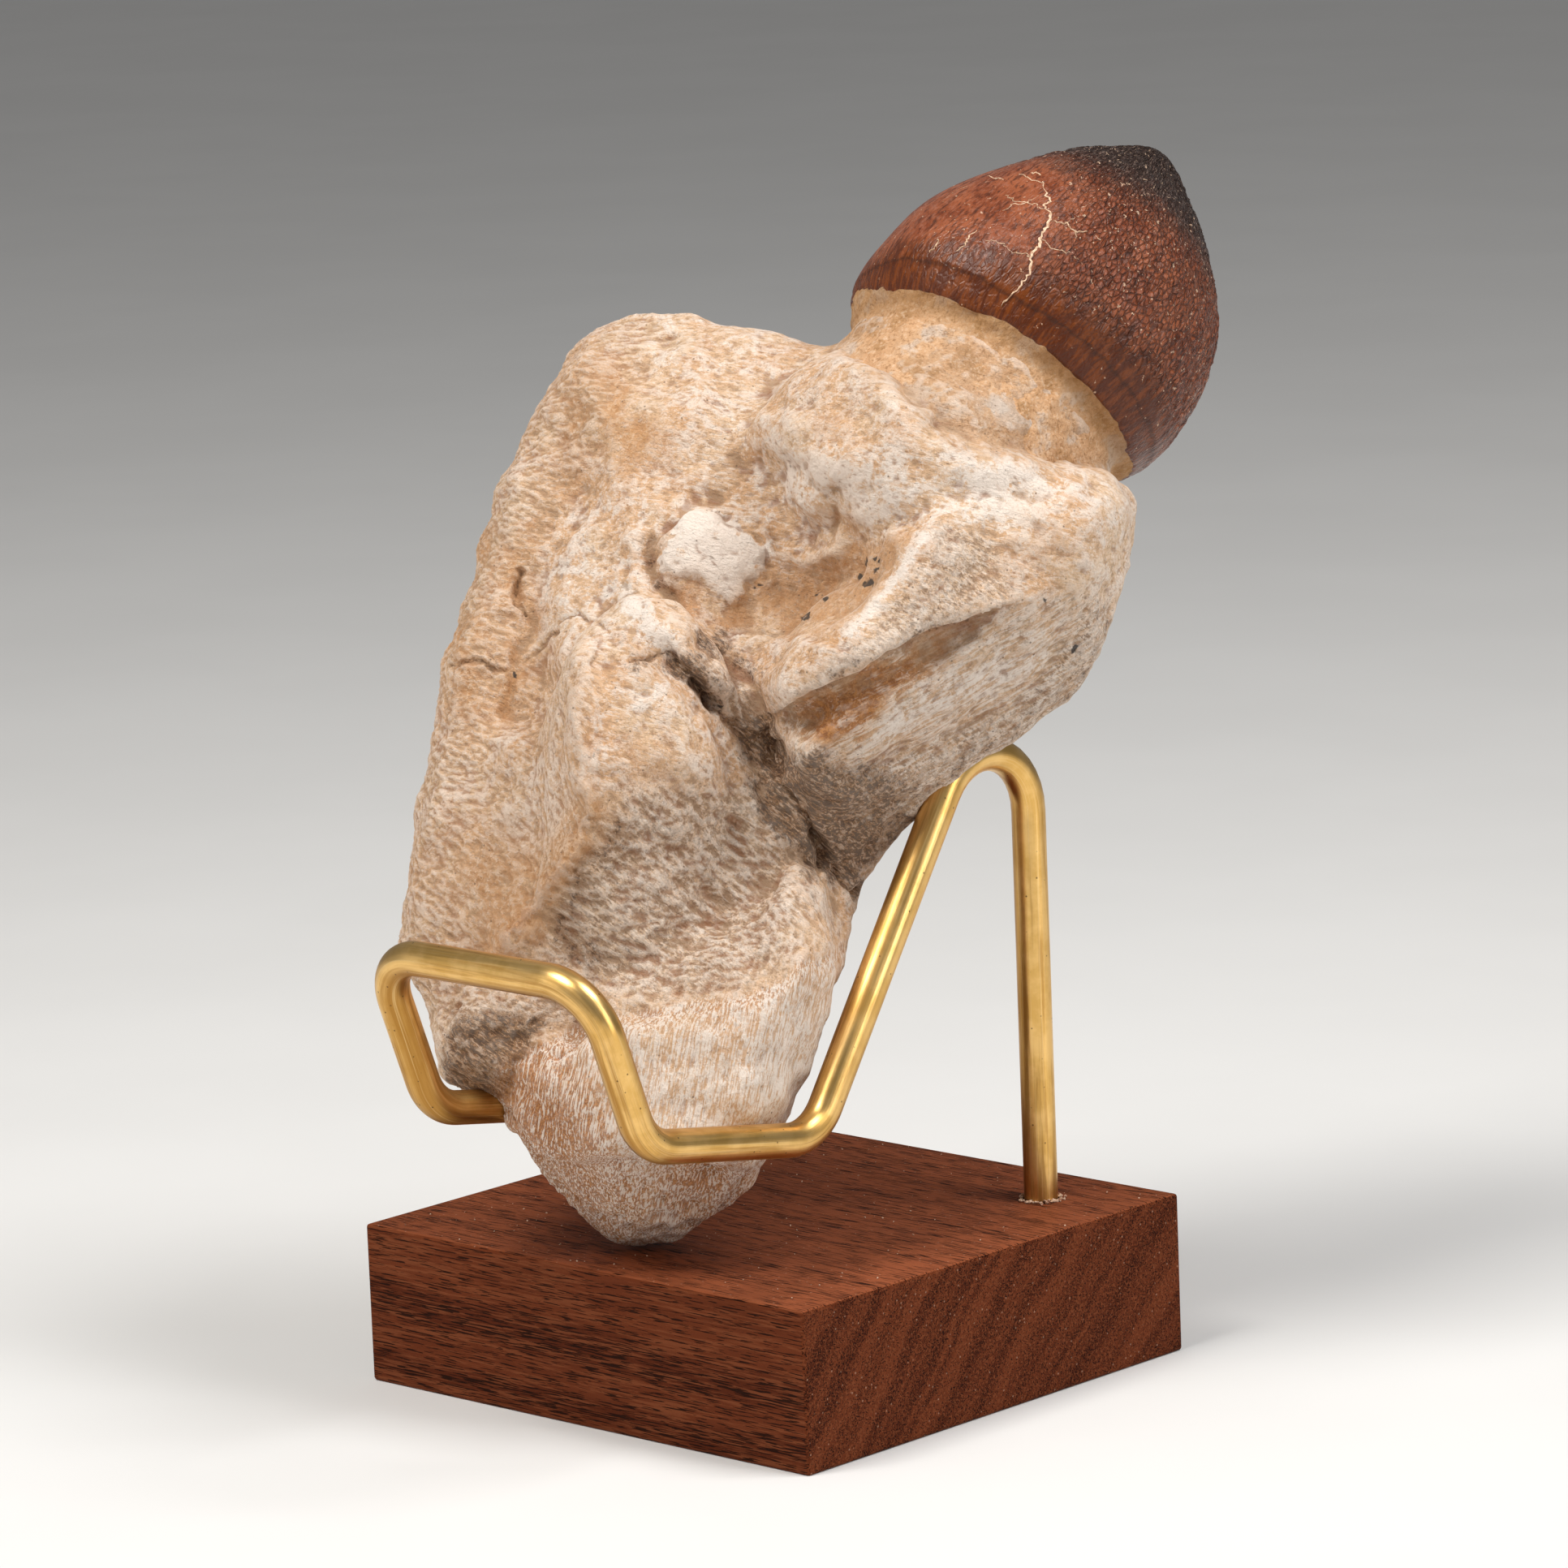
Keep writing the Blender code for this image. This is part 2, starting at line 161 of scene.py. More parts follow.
def lattice(cells, seed):
    """A repeatable number from 0 to 1 for each whole-number cell."""
    mixed = cells @ np.array([73856093, 19349663, 83492791]) + seed * 668265263
    mixed = (mixed ^ (mixed >> 13)) * 1274126177
    return ((mixed ^ (mixed >> 16)) & 0xFFFFFF) / 0xFFFFFF


def ripple(points, size, seed=0):
    """Smooth noise from -1 to 1 with bumps about so many millimetres wide."""
    tilt = np.array(Matrix.Rotation(0.7 + seed, 3, Vector((1.0, 0.6, 0.3)).normalized()))
    scaled = points @ tilt / size
    low = np.floor(scaled).astype(np.int64)
    part = scaled - low
    part = part * part * (3.0 - 2.0 * part)
    total = np.zeros(len(points))
    for corner in range(8):
        step = np.array([corner & 1, corner >> 1 & 1, corner >> 2 & 1])
        weight = np.prod(np.where(step, part, 1.0 - part), axis=1)
        total += weight * lattice(low + step, seed)
    return 2.0 * total - 1.0


def wander(points, seed, waves):
    """Shifts to the right and up for each point: a sum of ripples, given by height and width."""
    columns = [
        [height * ripple(points, size, start + i) for i, (height, size) in enumerate(waves)]
        for start in (seed, seed + len(waves))
    ]
    return np.column_stack([sum(column) for column in columns])


def tree_of(points):
    """The points in a tree that finds near ones fast."""
    tree = kdtree.KDTree(len(points))
    for i, point in enumerate(points):
        tree.insert(point, i)
    tree.balance()
    return tree


# Meshes

def add_object(name, data, materials=()):
    obj = bpy.data.objects.new(name, data)
    bpy.context.scene.collection.objects.link(obj)
    for material in materials:
        data.materials.append(material)
    return obj


def mesh_from_bmesh(name, bm):
    bmesh.ops.recalc_face_normals(bm, faces=bm.faces)
    mesh = bpy.data.meshes.new(name)
    bm.to_mesh(mesh)
    bm.free()
    return mesh


def skin_rings(bm, rings, tip=None):
    """Faces between rings of corners, with a flat end at the first ring and an end or a tip at the last."""
    turned = [ring[1:] + ring[:1] for ring in rings]
    for low, low_next, high, high_next in zip(rings, turned, rings[1:], turned[1:]):
        for corners in zip(low, low_next, high_next, high):
            bm.faces.new(corners)
    bm.faces.new(list(reversed(rings[0])))
    if tip is None:
        bm.faces.new(rings[-1])
    else:
        for corner, after in zip(rings[-1], turned[-1]):
            bm.faces.new((corner, after, tip))


def evaluated_mesh(obj, name):
    graph = bpy.context.evaluated_depsgraph_get()
    mesh = bpy.data.meshes.new_from_object(obj.evaluated_get(graph))
    mesh.name = name
    bpy.data.objects.remove(obj, do_unlink=True)
    return mesh


def one_body(mesh, voxel, passes):
    """The mesh's lumps grown together in one skin, relaxed by so many passes."""
    body = add_object("body", mesh)
    remesh = body.modifiers.new("one body", "REMESH")
    remesh.mode = "VOXEL"
    remesh.voxel_size = voxel * MM
    relax = body.modifiers.new("relax", "SMOOTH")
    relax.factor = 0.5
    relax.iterations = passes
    return evaluated_mesh(body, "body")


def vertex_arrays(mesh):
    count = len(mesh.vertices)
    places = np.empty(3 * count)
    normals = np.empty(3 * count)
    mesh.vertices.foreach_get("co", places)
    mesh.vertices.foreach_get("normal", normals)
    return places.reshape(-1, 3) / MM, normals.reshape(-1, 3)


def set_places(mesh, places):
    mesh.vertices.foreach_set("co", (places * MM).ravel())
    mesh.update()


def set_field(mesh, name, values):
    """A number, or a triple, for each vertex, which a material can read."""
    triple = values.ndim == 2
    field = mesh.attributes.new(name, "FLOAT_VECTOR" if triple else "FLOAT", "POINT")
    field.data.foreach_set("vector" if triple else "value", values.astype(np.float32).ravel())


def edge_array(mesh):
    edges = np.empty(2 * len(mesh.edges), np.int32)
    mesh.edges.foreach_get("vertices", edges)
    return edges.reshape(-1, 2)


def relaxed(values, edges, passes, share=1.0):
    """Each vertex's values moved towards the mean of its neighbours' values."""
    count = len(values)
    ends = np.concatenate([edges[:, 0], edges[:, 1]])
    others = np.concatenate([edges[:, 1], edges[:, 0]])
    number = np.maximum(np.bincount(ends, minlength=count), 1)[:, None]
    share = np.reshape(share, (-1, 1))
    for _ in range(passes):
        columns = [np.bincount(ends, weights=column[others], minlength=count) for column in values.T]
        values = values + share * (np.column_stack(columns) / number - values)
    return values


# Courses and outlines in the broad face

def curve_point(a, b, c, d, t):
    """A point between b and c on the smooth curve through a, b, c and d."""
    return 0.5 * (
        2 * b + (c - a) * t + (2 * a - 5 * b + 4 * c - d) * t ** 2
        + (3 * b - a - 3 * c + d) * t ** 3
    )


def closed_curve(points, steps):
    """Even points on a smooth closed curve through the given points."""
    points = np.array(points, float)
    rings = zip(*(np.roll(points, shift, axis=0) for shift in (1, 0, -1, -2)))
    return np.array([curve_point(*ring, t) for ring in rings for t in np.arange(steps) / steps])


def course_distance(points, course):
    """Distance from each point to a bent line, and which side it lies on: +1 left, -1 right."""
    course = np.array(course, float)
    if len(course) == 1:
        return np.linalg.norm(points - course[0], axis=1), np.ones(len(points))
    best = np.full(len(points), np.inf)
    side = np.ones(len(points))
    for start, end in zip(course, course[1:]):
        along = end - start
        offset = points - start
        t = np.clip(offset @ along / (along @ along), 0.0, 1.0)
        apart = np.linalg.norm(offset - t[:, None] * along, axis=1)
        nearer = apart < best
        best[nearer] = apart[nearer]
        turn = along[0] * offset[:, 1] - along[1] * offset[:, 0]
        side[nearer] = np.sign(turn[nearer])
    return best, side


def patch(points, outline, soft):
    """1 inside a closed outline, 0 outside it, with an edge so many millimetres soft."""
    outline = np.array(outline, float)
    edge, _ = course_distance(points, np.vstack([outline, outline[:1]]))
    inside = np.zeros(len(points), bool)
    for (x0, y0), (x1, y1) in zip(outline, np.roll(outline, -1, axis=0)):
        crosses = (y0 > points[:, 1]) != (y1 > points[:, 1])
        reach = x0 + (points[:, 1] - y0) * (x1 - x0) / (y1 - y0 if y1 != y0 else 1.0)
        inside ^= crosses & (points[:, 0] < reach)
    return smooth_step(-soft, soft, np.where(inside, edge, -edge))


# Brass rod

def rounded_path(corners, radii, steps):
    """A path through the corners, with each inner corner turned as an arc."""
    corners = [Vector(corner) for corner in corners]
    path = [corners[0]]
    for before, corner, after, radius in zip(corners, corners[1:], corners[2:], radii):
        come = (before - corner).normalized()
        leave = (after - corner).normalized()
        half = come.angle(leave) / 2
        centre = corner + (come + leave).normalized() * radius / math.sin(half)
        start = corner + come * radius / math.tan(half) - centre
        turn = start.rotation_difference(corner + leave * radius / math.tan(half) - centre)
        axis, angle = turn.to_axis_angle()
        for step in range(steps + 1):
            path.append(centre + Matrix.Rotation(angle * step / steps, 3, axis) @ start)
    path.append(corners[-1])
    return path


def rod_path(steps):
    rise = Vector((0.0, POST_Y - SEAT_Y, HAIRPIN_PEAK_Z - SEAT_Z)).normalized()
    left_top = Vector((LEFT_LEG_X, SEAT_Y, SEAT_Z)) + LEFT_LEG_LENGTH * rise
    corners = [
        (POST_X, POST_Y, POST_FOOT_Z),
        (POST_X, POST_Y, HAIRPIN_PEAK_Z),
        (POST_X, SEAT_Y, SEAT_Z),
        (POST_X, ARM_END_Y, ARM_END_Z),
        (POST_X, BAR_Y, BAR_Z),
        (LEFT_LEG_X, BAR_Y, BAR_Z),
        (LEFT_LEG_X, ARM_END_Y, ARM_END_Z),
        (LEFT_LEG_X, SEAT_Y, SEAT_Z),
        tuple(left_top),
    ]
    return rounded_path(corners, [HAIRPIN_BEND] + [LEG_BEND] * 6, steps)


def even_path(path, spacing):
    """The path with points put in so that none are further apart than the spacing."""
    full = [path[0]]
    for start, end in zip(path, path[1:]):
        pieces = max(1, math.ceil((end - start).length / spacing))
        full += [start.lerp(end, step / pieces) for step in range(1, pieces + 1)]
    return full


def make_rod(brass):
    """The rod swept along its path, with the direction of drawing kept for the material."""
    path = even_path(rod_path(ROD_BEND_STEPS), ROD_SPACING)
    radius = ROD_DIAMETER / 2
    bm = bmesh.new()
    flow = []
    rings = []
    along = 0.0
    side = Vector((1.0, 0.0, 0.0))
    angles = 2 * math.pi * np.arange(ROD_SIDES) / ROD_SIDES
    for i, point in enumerate(path):
        before = path[max(i - 1, 0)]
        after = path[min(i + 1, len(path) - 1)]
        ahead = (after - before).normalized()
        side = (side - ahead * side.dot(ahead)).normalized()
        up = ahead.cross(side)
        along += (point - before).length
        reach = radius * (ROD_END_SHARE if i in (0, len(path) - 1) else 1.0)
        corners = [point + (math.cos(angle) * side + math.sin(angle) * up) * reach for angle in angles]
        rings.append([bm.verts.new(corner * MM) for corner in corners])
        flow += [(math.cos(angle), math.sin(angle), along) for angle in angles]
    skin_rings(bm, rings)
    mesh = mesh_from_bmesh("rod", bm)
    set_field(mesh, "flow", np.array(flow))
    mesh.shade_smooth()
    mesh.set_sharp_from_angle(angle=math.radians(50))
    rod = add_object("brass_rod", mesh, [brass])
    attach(rod, "root")
    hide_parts("wire_stand")
    return rod


# Tooth

def tooth_frame():
    """Where the crown's margin lies, with the tooth's own axis as the frame's Z."""
    axis = Vector(TOOTH_LEAN).normalized()
    side = Vector((1.0, 0.0, 0.0))
    side = (side - axis * side.dot(axis)).normalized()
    turn = Matrix((side, axis.cross(side), axis)).transposed().to_4x4()
    centre = Vector(np.array(CROWN_CENTRE) @ FACE * MM)
    return Matrix.Translation(centre) @ turn


def tooth_profile():
    """Radius and height from the crown's margin, from the foot of the root to the tip."""
    root = [(0.80, 1.0), (0.98, 0.88), (1.06, 0.75), (1.04, 0.60), (1.00, 0.42), (0.98, 0.26), (0.995, 0.16)]
    crown = [
        (0.90, -2.2), (0.935, -1.0), (0.962, 0.3), (0.985, 1.8), (1.00, 4.5), (0.98, 9.0), (0.92, 14.0),
        (0.825, 18.5), (0.685, 22.7), (0.515, 26.4), (0.36, 29.2), (0.23, 31.5), (0.145, 33.1), (0.085, 34.2),
        (0.0, CROWN_HEIGHT),
    ]
    below = [(ROOT_RADIUS * share, -ROOT_LENGTH * depth) for share, depth in root]
    return below + [(CROWN_RADIUS * share, height) for share, height in crown]


def crown_lean(height):
    """How far the crown leans over sideways at a height, most of it by half way up."""
    share = np.clip(2 * height / CROWN_HEIGHT, 0.0, 1.0)
    return CROWN_LEAN * np.sin(math.pi / 2 * share) + TIP_LEAN * smooth_step(20.0, 35.0, height)


def even_profile(count):
    """The tooth's profile as a smooth curve with evenly spaced points."""
    points = np.array(tooth_profile())
    padded = np.vstack([2 * points[0] - points[1], points, 2 * points[-1] - points[-2]])
    spans = zip(padded, padded[1:], padded[2:], padded[3:])
    curve = [curve_point(*span, t) for span in spans for t in np.arange(24) / 24]
    curve = np.array(curve + [points[-1]])
    length = np.concatenate([[0.0], np.cumsum(np.linalg.norm(np.diff(curve, axis=0), axis=1))])
    even = np.linspace(0.0, length[-1], count)
    return np.interp(even, length, curve[:, 0]), np.interp(even, length, curve[:, 1]), even


def turn_from(angle, degrees):
    """How far round the crown each angle is from a direction, in radians."""
    return np.abs(np.angle(np.exp(1j * (angle - math.radians(degrees)))))


def margin_height(angle):
    """Height of the enamel's edge, which dips on one side of the crown."""
    return -0.4 - 1.75 * smooth_step(1.75, 1.05, turn_from(angle, MARGIN_DIP))


def crown_place(angle, height, radius):
    """Places on the plain crown, in the tooth's frame, in millimetres."""
    wave = 1.0 + 0.012 * np.sin(3 * angle + 0.7) + 0.008 * np.sin(7 * angle + height * 0.2)
    flatter = (0.034 + 0.115 * smooth_step(9.0, 25.0, height)) * smooth_step(35.0, 31.0, height)
    wave = wave - flatter * smooth_step(1.2, 0.4, turn_from(angle, UPPER_LEFT))
    narrower = 0.022 * smooth_step(1.2, 0.4, turn_from(angle, LOWER_RIGHT))
    wave = wave - narrower * smooth_step(18.0, 6.0, height)
    return np.column_stack([
        np.cos(angle) * radius * wave + crown_lean(height),
        np.sin(angle) * radius * wave,
        height,
    ])


def make_tooth(materials):
    radii, heights, lengths = even_profile(TOOTH_RINGS)
    angles = 2 * math.pi * np.arange(TOOTH_SIDES) / TOOTH_SIDES
    angle = np.tile(angles, TOOTH_RINGS - 1)
    radius = np.repeat(radii[:-1], TOOTH_SIDES)
    height = np.repeat(heights[:-1], TOOTH_SIDES)
    length = np.repeat(lengths[:-1], TOOTH_SIDES)
    places = crown_place(angle, height, radius)
    flow = np.column_stack([np.cos(angle), np.sin(angle), length])
    above = height - margin_height(angle)

    # Wrinkles run up the crown and crowd together at its tip
    crown = smooth_step(-0.1, 0.3, above + 0.35 * ripple(places, 2.2, 24) + 0.2 * ripple(places, 0.9, 25))
    near_tip = smooth_step(15.0, 27.0, height)
    rough_side = smooth_step(0.1, 0.95, np.cos(angle - math.radians(2.0)))
    pebbles = np.clip(near_tip + rough_side * smooth_step(0.0, 6.0, height), 0.0, 1.0)
    wrinkles = 1.0 - 2.0 * np.abs(ripple(flow * np.array([13.0, 13.0, 0.55]), 1.0, 3))
    beads = 1.0 - 2.0 * np.abs(ripple(flow * np.array([25.0, 25.0, 1.0]), 1.0, 5))
    flutes = ripple(flow * np.array([4.5, 4.5, 0.05]), 1.0, 8)
    step = 0.16 * smooth_step(0.7, 1.3, height + 0.3 * ripple(places, 5.0, 26))
    lift = crown * (
        0.22 + step + 0.14 * flutes * smooth_step(31.0, 22.0, height)
        + (0.02 + 0.14 * pebbles) * wrinkles
        + (0.02 + 0.13 * pebbles) * beads
    )
    lift -= crown * 0.12 * smooth_step(0.35, 0.9, ripple(flow * np.array([7.0, 7.0, 0.12]), 1.0, 12))
    # The root is sandy and lumpy
    lift += (1.0 - crown) * (
        0.30 * ripple(places, 4.0, 21) + 0.24 * ripple(places, 1.5, 22) + 0.16 * ripple(places, 0.7, 23)
    )
    taper = smooth_step(0.0, 3.0, CROWN_HEIGHT - height)
    slope = np.repeat(np.gradient(heights, lengths)[:-1], TOOTH_SIDES)
    rise = np.repeat(-np.gradient(radii, lengths)[:-1], TOOTH_SIDES)
    outward = np.column_stack([np.cos(angle) * slope, np.sin(angle) * slope, rise])
    outward /= np.maximum(np.linalg.norm(outward, axis=1), 1e-6)[:, None]
    places = places + outward * (lift * (0.3 + 0.7 * taper))[:, None]

    bm = bmesh.new()
    verts = [bm.verts.new(Vector(place) * MM) for place in places]
    tip = bm.verts.new(Vector((float(crown_lean(CROWN_HEIGHT)), 0.0, CROWN_HEIGHT)) * MM)
    skin_rings(bm, [verts[i:i + TOOTH_SIDES] for i in range(0, len(verts), TOOTH_SIDES)], tip)
    mesh = mesh_from_bmesh("tooth", bm)
    mesh.transform(tooth_frame())
    set_field(mesh, "flow", np.vstack([flow, [[0.0, 0.0, lengths[-1]]]]))
    set_field(mesh, "height", np.append(height, CROWN_HEIGHT))
    set_field(mesh, "crown", np.append(crown, 1.0))
    set_field(mesh, "pebbles", np.append(pebbles, 1.0))
    mesh.shade_smooth()
    tooth = add_object("tooth_fine", mesh, materials)
    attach(tooth, "root")
    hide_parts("tooth")
    return tooth


# Pale fillings of the cracks in the enamel: width, and angle in degrees and height along each
CROWN_CRACKS = [
    (0.34, [(290, 16.2), (293, 15.0), (298, 13.7), (297, 12.9), (302, 11.8), (303, 10.2), (303, 9.0),
            (305, 7.4), (305, 5.6), (308, 3.8), (308, 1.9), (306, -0.6)]),
    (0.30, [(256, 17.0), (263, 16.2), (271, 15.3), (275, 15.2)]),
    (0.26, [(279, 16.6), (286, 16.0), (291, 15.9)]),
    (0.20, [(283, 12.4), (288, 11.9), (294, 12.4), (298, 12.2)]),
    (0.20, [(293, 13.8), (292, 12.4), (288, 11.2), (287, 10.0)]),
    (0.22, [(303, 11.2), (307, 11.9), (311, 11.5), (316, 12.6), (321, 12.3)]),
    (0.16, [(307, 11.9), (309, 13.6), (308, 15.2), (310, 16.6)]),
    (0.16, [(311, 11.5), (314, 10.3), (320, 9.9), (324, 10.6)]),
    (0.18, [(289, 5.4), (294, 5.9), (299, 5.3), (304, 5.9)]),
    (0.16, [(304, 8.4), (309, 8.0), (315, 8.6), (322, 7.9)]),
    (0.34, [(283, 2.9), (284, 4.0), (283, 5.2), (284, 6.4)]),
    (0.42, [(274, 2.3), (275, 3.2), (274, 3.9)]),
    (0.62, [(283, 17.2), (285, 17.4), (287, 17.2)]),
    (0.24, [(262, 13.4), (260, 12.0), (261, 10.4)]),
]


def add_crack(bm, rng, radii, heights, width, course):
    """One crack's filling as a thin closed strip that wanders along its course."""
    degrees, heights_along = np.array(course, float).T
    steps = 6
    spots = np.arange((len(course) - 1) * steps + 1) / steps
    angle = np.interp(spots, np.arange(len(course)), degrees) + rng.normal(0.0, 0.30, len(spots))
    height = np.interp(spots, np.arange(len(course)), heights_along) + rng.normal(0.0, 0.09, len(spots))
    angle = np.radians(angle)
    radius = np.interp(height, heights, radii) + 0.40
    path = crown_place(angle, height, radius)
    outward = np.column_stack([np.cos(angle), np.sin(angle), 0.25 + 0.04 * height])
    outward /= np.linalg.norm(outward, axis=1)[:, None]
    ahead = np.gradient(path, axis=0)
    aside = np.cross(ahead, outward)
    aside /= np.linalg.norm(aside, axis=1)[:, None]
    taper = np.minimum(1.0, 0.25 + 1.6 * np.minimum(spots, spots[::-1]) / steps)
    half = 0.5 * width * taper * rng.uniform(0.45, 1.25, len(spots))
    rings = []
    for place, out, across, reach in zip(path, outward, aside, half):
        corners = [place + across * reach, place + out * 0.05, place - across * reach, place - out * 0.45]
        rings.append([bm.verts.new(corner * MM) for corner in corners])
    skin_rings(bm, rings)


def make_crown_cracks(filling):
    rng = np.random.default_rng(CRACK_SEED)
    radii, heights, _ = even_profile(TOOTH_RINGS)
    bm = bmesh.new()
    for width, course in CROWN_CRACKS:
        add_crack(bm, rng, radii, heights, width, course)
    mesh = mesh_from_bmesh("crown_cracks", bm)
    mesh.transform(tooth_frame())
    cracks = add_object("crown_cracks", mesh, [filling])
    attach(cracks, "root")
    return cracks


# Jaw: outlines of its lumps, right and up in the broad face
JAW_BODY = [
    (-23, 121.9), (-12.3, 124.6), (-3, 122.3), (8.7, 120), (20, 115), (29, 107), (31, 98), (27, 86),
    (18, 66.8), (13.3, 57), (6.5, 46), (-7.2, 38.5), (-20, 36.5), (-32.6, 33.6), (-39.2, 37), (-42.6, 45.5),
    (-43.6, 53.2), (-42.4, 64), (-40.3, 76), (-37.4, 87.5), (-34.3, 99), (-30.5, 108.9), (-27.1, 115.6),
]
LOWER_LOBE = [
    (-30, 40), (-22, 48), (-8, 54), (5.5, 57), (9.8, 54.9), (7.2, 46.5), (3.9, 37), (0.6, 28.4),
    (-4.6, 21.2), (-11.2, 16.3), (-15.5, 15.1), (-23, 17.6), (-30, 24), (-31.6, 32.8),
]
KNUCKLE = [
    (22, 104.5), (30.8, 105), (36.6, 104.6), (40.8, 99.8), (40.9, 94.3), (37.4, 86), (33.6, 77.6),
    (25.7, 71.9), (15.5, 66.4), (7, 65.5), (0.6, 69), (-2, 75), (0.2, 84), (7.6, 92.5), (14, 99.5),
]

# Main relief of the broad face: the course in right and up, the reach and the height
RELIEF = [
    # Ridge across the knuckle and the groove below it
    ([(2.5, 79.6), (8, 84.6), (14, 90.4), (18.5, 96.3)], 4.6, 1.7),
    ([(1.5, 75.8), (11.1, 80.2), (22.1, 85.6)], 3, -2.2),
    ([(17.6, 102.1), (25, 101.2), (34, 98.4)], 6, 2),
    # Sunken floor between the knob and the knuckle
    ([(-4, 91.1), (3.8, 89.6), (8, 91.4)], 5.5, -2.3),
    # Knob and the round boss beside it
    ([(-8.6, 95.2), (-7.4, 93.4)], 7.5, 3),
    ([(3.4, 99)], 4.6, 0.8),
    ([(-14.5, 93.8), (-11.8, 99.5), (-7.2, 101.2)], 1.8, -0.8),
    # Fissure between the plate and the knuckle, and its raised upper lip
    ([(-13, 82.6), (-6.2, 77.3), (-2.6, 72.7), (-0.7, 68.1), (3.8, 62.6), (6.6, 58), (9.5, 55.3)], 2.6, -2.8),
    ([(-13, 88.5), (-8, 83.7), (-3.6, 79.1)], 3.2, 1),
    # Edge of the plate and the hollow face right of it, which the colours paint grey as shade
    ([(-21.8, 81.8), (-20.4, 65.4), (-24.6, 57.1), (-29.1, 51.6)], 4, 2.4),
    ([(-9.9, 58), (-8, 62)], 10, -3),
    # Margin strip on the left, with the valley inside it
    ([(-22.2, 117.6), (-29.7, 105.4), (-34.4, 91.4), (-37.2, 79.3), (-39, 69), (-40.9, 57.8)], 4, 1),
    ([(-23.9, 102.3), (-28.5, 94.9), (-29.4, 87.5), (-28.5, 80.1), (-30.3, 77.4)], 4, -2.4),
    # Ledge above the fibrous lower lobe
    ([(-23.6, 42.5), (-11.7, 44.8), (0.2, 48), (3.8, 48.9)], 3.4, -1.4),
    ([(-33.8, 48.8), (-23.7, 43.3)], 3, -1.4),
    # Brow that runs from the top of the jaw to the foot of the tooth
    ([(-18.4, 111.7), (-5.4, 109.8), (3.9, 106.1), (13.1, 102.4)], 5, 1.4),
    ([(-13.1, 120.4)], 1.6, -1.2),
]
BACK_RELIEF = [
    ([(-30, 100), (-27, 80), (-26, 58)], 4, -2.6),
    ([(-18, 108), (-12, 84), (-12, 60), (-16, 44)], 6, 2.2),
    ([(2, 92), (6, 82)], 7, -2.6),
    ([(-14, 30), (-8, 40)], 5, -1.6),
]

# Flat and broken faces: a point on each, its outward direction and how far around it reaches
FACETS = [
    ((14, 76, 36), (0.42, -0.62, 0.66), 26),
    ((-14, 19, 26), (0.10, -0.55, 0.83), 13),
    ((-24, 22, 22), (-0.62, -0.60, 0.50), 10),
]

# Courses that both the fine relief and the colours follow
MARGIN = [
    (-20.8, 120.8), (-25, 113.8), (-28.3, 107.8), (-32.3, 98), (-34.8, 89.1), (-38.6, 79.3), (-40.9, 66.2),
    (-42.4, 54.1), (-40.9, 46.4),
]
VALLEY = [(-24, 103.4), (-27.8, 97.7), (-29.9, 93), (-28.4, 86.8), (-29.7, 84.5), (-30.5, 80), (-31.4, 77.4)]
RIDGE = [(6.2, 83.5), (9.9, 86.8), (13.6, 90.5), (15, 93.5), (18.1, 98.7)]
CREASE = [(2.3, 78), (5, 79.3), (9.2, 81.4), (13.5, 83.8), (17.1, 86), (22.9, 87.7)]
FISSURE_TOP = [
    (-18, 85.6), (-16.2, 82.6), (-12.1, 84.4), (-10.9, 82.6), (-7.7, 77.9), (-6.3, 76.4), (-1.4, 74.5),
]
FISSURE_LOW = [(-1.4, 74.5), (-0.7, 71.3), (1.9, 66.4), (3.6, 62.8), (5.4, 60.7), (6.7, 57.4), (9.6, 55)]
LIP = [(-17.9, 91.2), (-15.5, 87.5), (-11.8, 84.7)]
CRESCENT = [(-14.7, 96.7), (-14.9, 92.8), (-13.5, 90.8), (-11.5, 88.8)]
PLATE_EDGE = [
    (-20.7, 81.2), (-21.5, 74.1), (-21.5, 69.9), (-20.7, 65), (-24.3, 58.6), (-28.8, 51.9), (-31.5, 49),
]
LEDGE = [(-29.3, 37.5), (-23.8, 41.2), (-17.3, 42.7), (-12.4, 42.9), (-7, 44.1), (0, 46.6), (8.1, 50.9)]

# Outlines of areas that differ in surface or colour
KNOB = [
    (-10.9, 100.2), (-7, 99.9), (-5.6, 98.2), (-1.5, 95.5), (-2, 93.7), (-3.8, 91.7), (-3.5, 90), (-5.6, 89),
    (-7, 90.2), (-8.8, 91.7), (-13.2, 92.3), (-14.1, 93.7), (-12.4, 97),
]
SUNKEN_FLOOR = [
    (-3.9, 92.7), (3.5, 93.4), (6.5, 95.5), (12.3, 96.4), (15.4, 97.7), (15.1, 95.5), (12.3, 91.5),
    (7.4, 86.9), (6.2, 83.9), (2, 85.2), (-7.2, 86.6), (-5.7, 88.8),
]
GROOVE_FLOOR = [
    (2.3, 77.5), (9.3, 80.8), (17.2, 85.3), (20.3, 86.7), (20.8, 84.6), (15.3, 80), (9.4, 74.5), (5.7, 73.2),
    (3, 74.5),
]
# Hollow face right of the plate: painted grey and darker as the shade of the hollow
SHADED_HOLLOW = [
    (-20.6, 64.4), (-14.6, 69), (-7.2, 69), (-0.8, 65.3), (2.9, 59.8), (3.9, 54.2), (0.2, 47.8),
    (-7.2, 44.5), (-15.5, 43.6), (-22, 45.9), (-27.6, 49.6), (-24.8, 57),
]
LOBE_FACE = [
    (-32, 36), (-23.8, 41.2), (-17.3, 42.7), (-7, 44.1), (0, 46.6), (8.1, 50.9), (12, 48), (8, 36), (0, 24),
    (-13.7, 10), (-28, 14), (-36, 26),
]
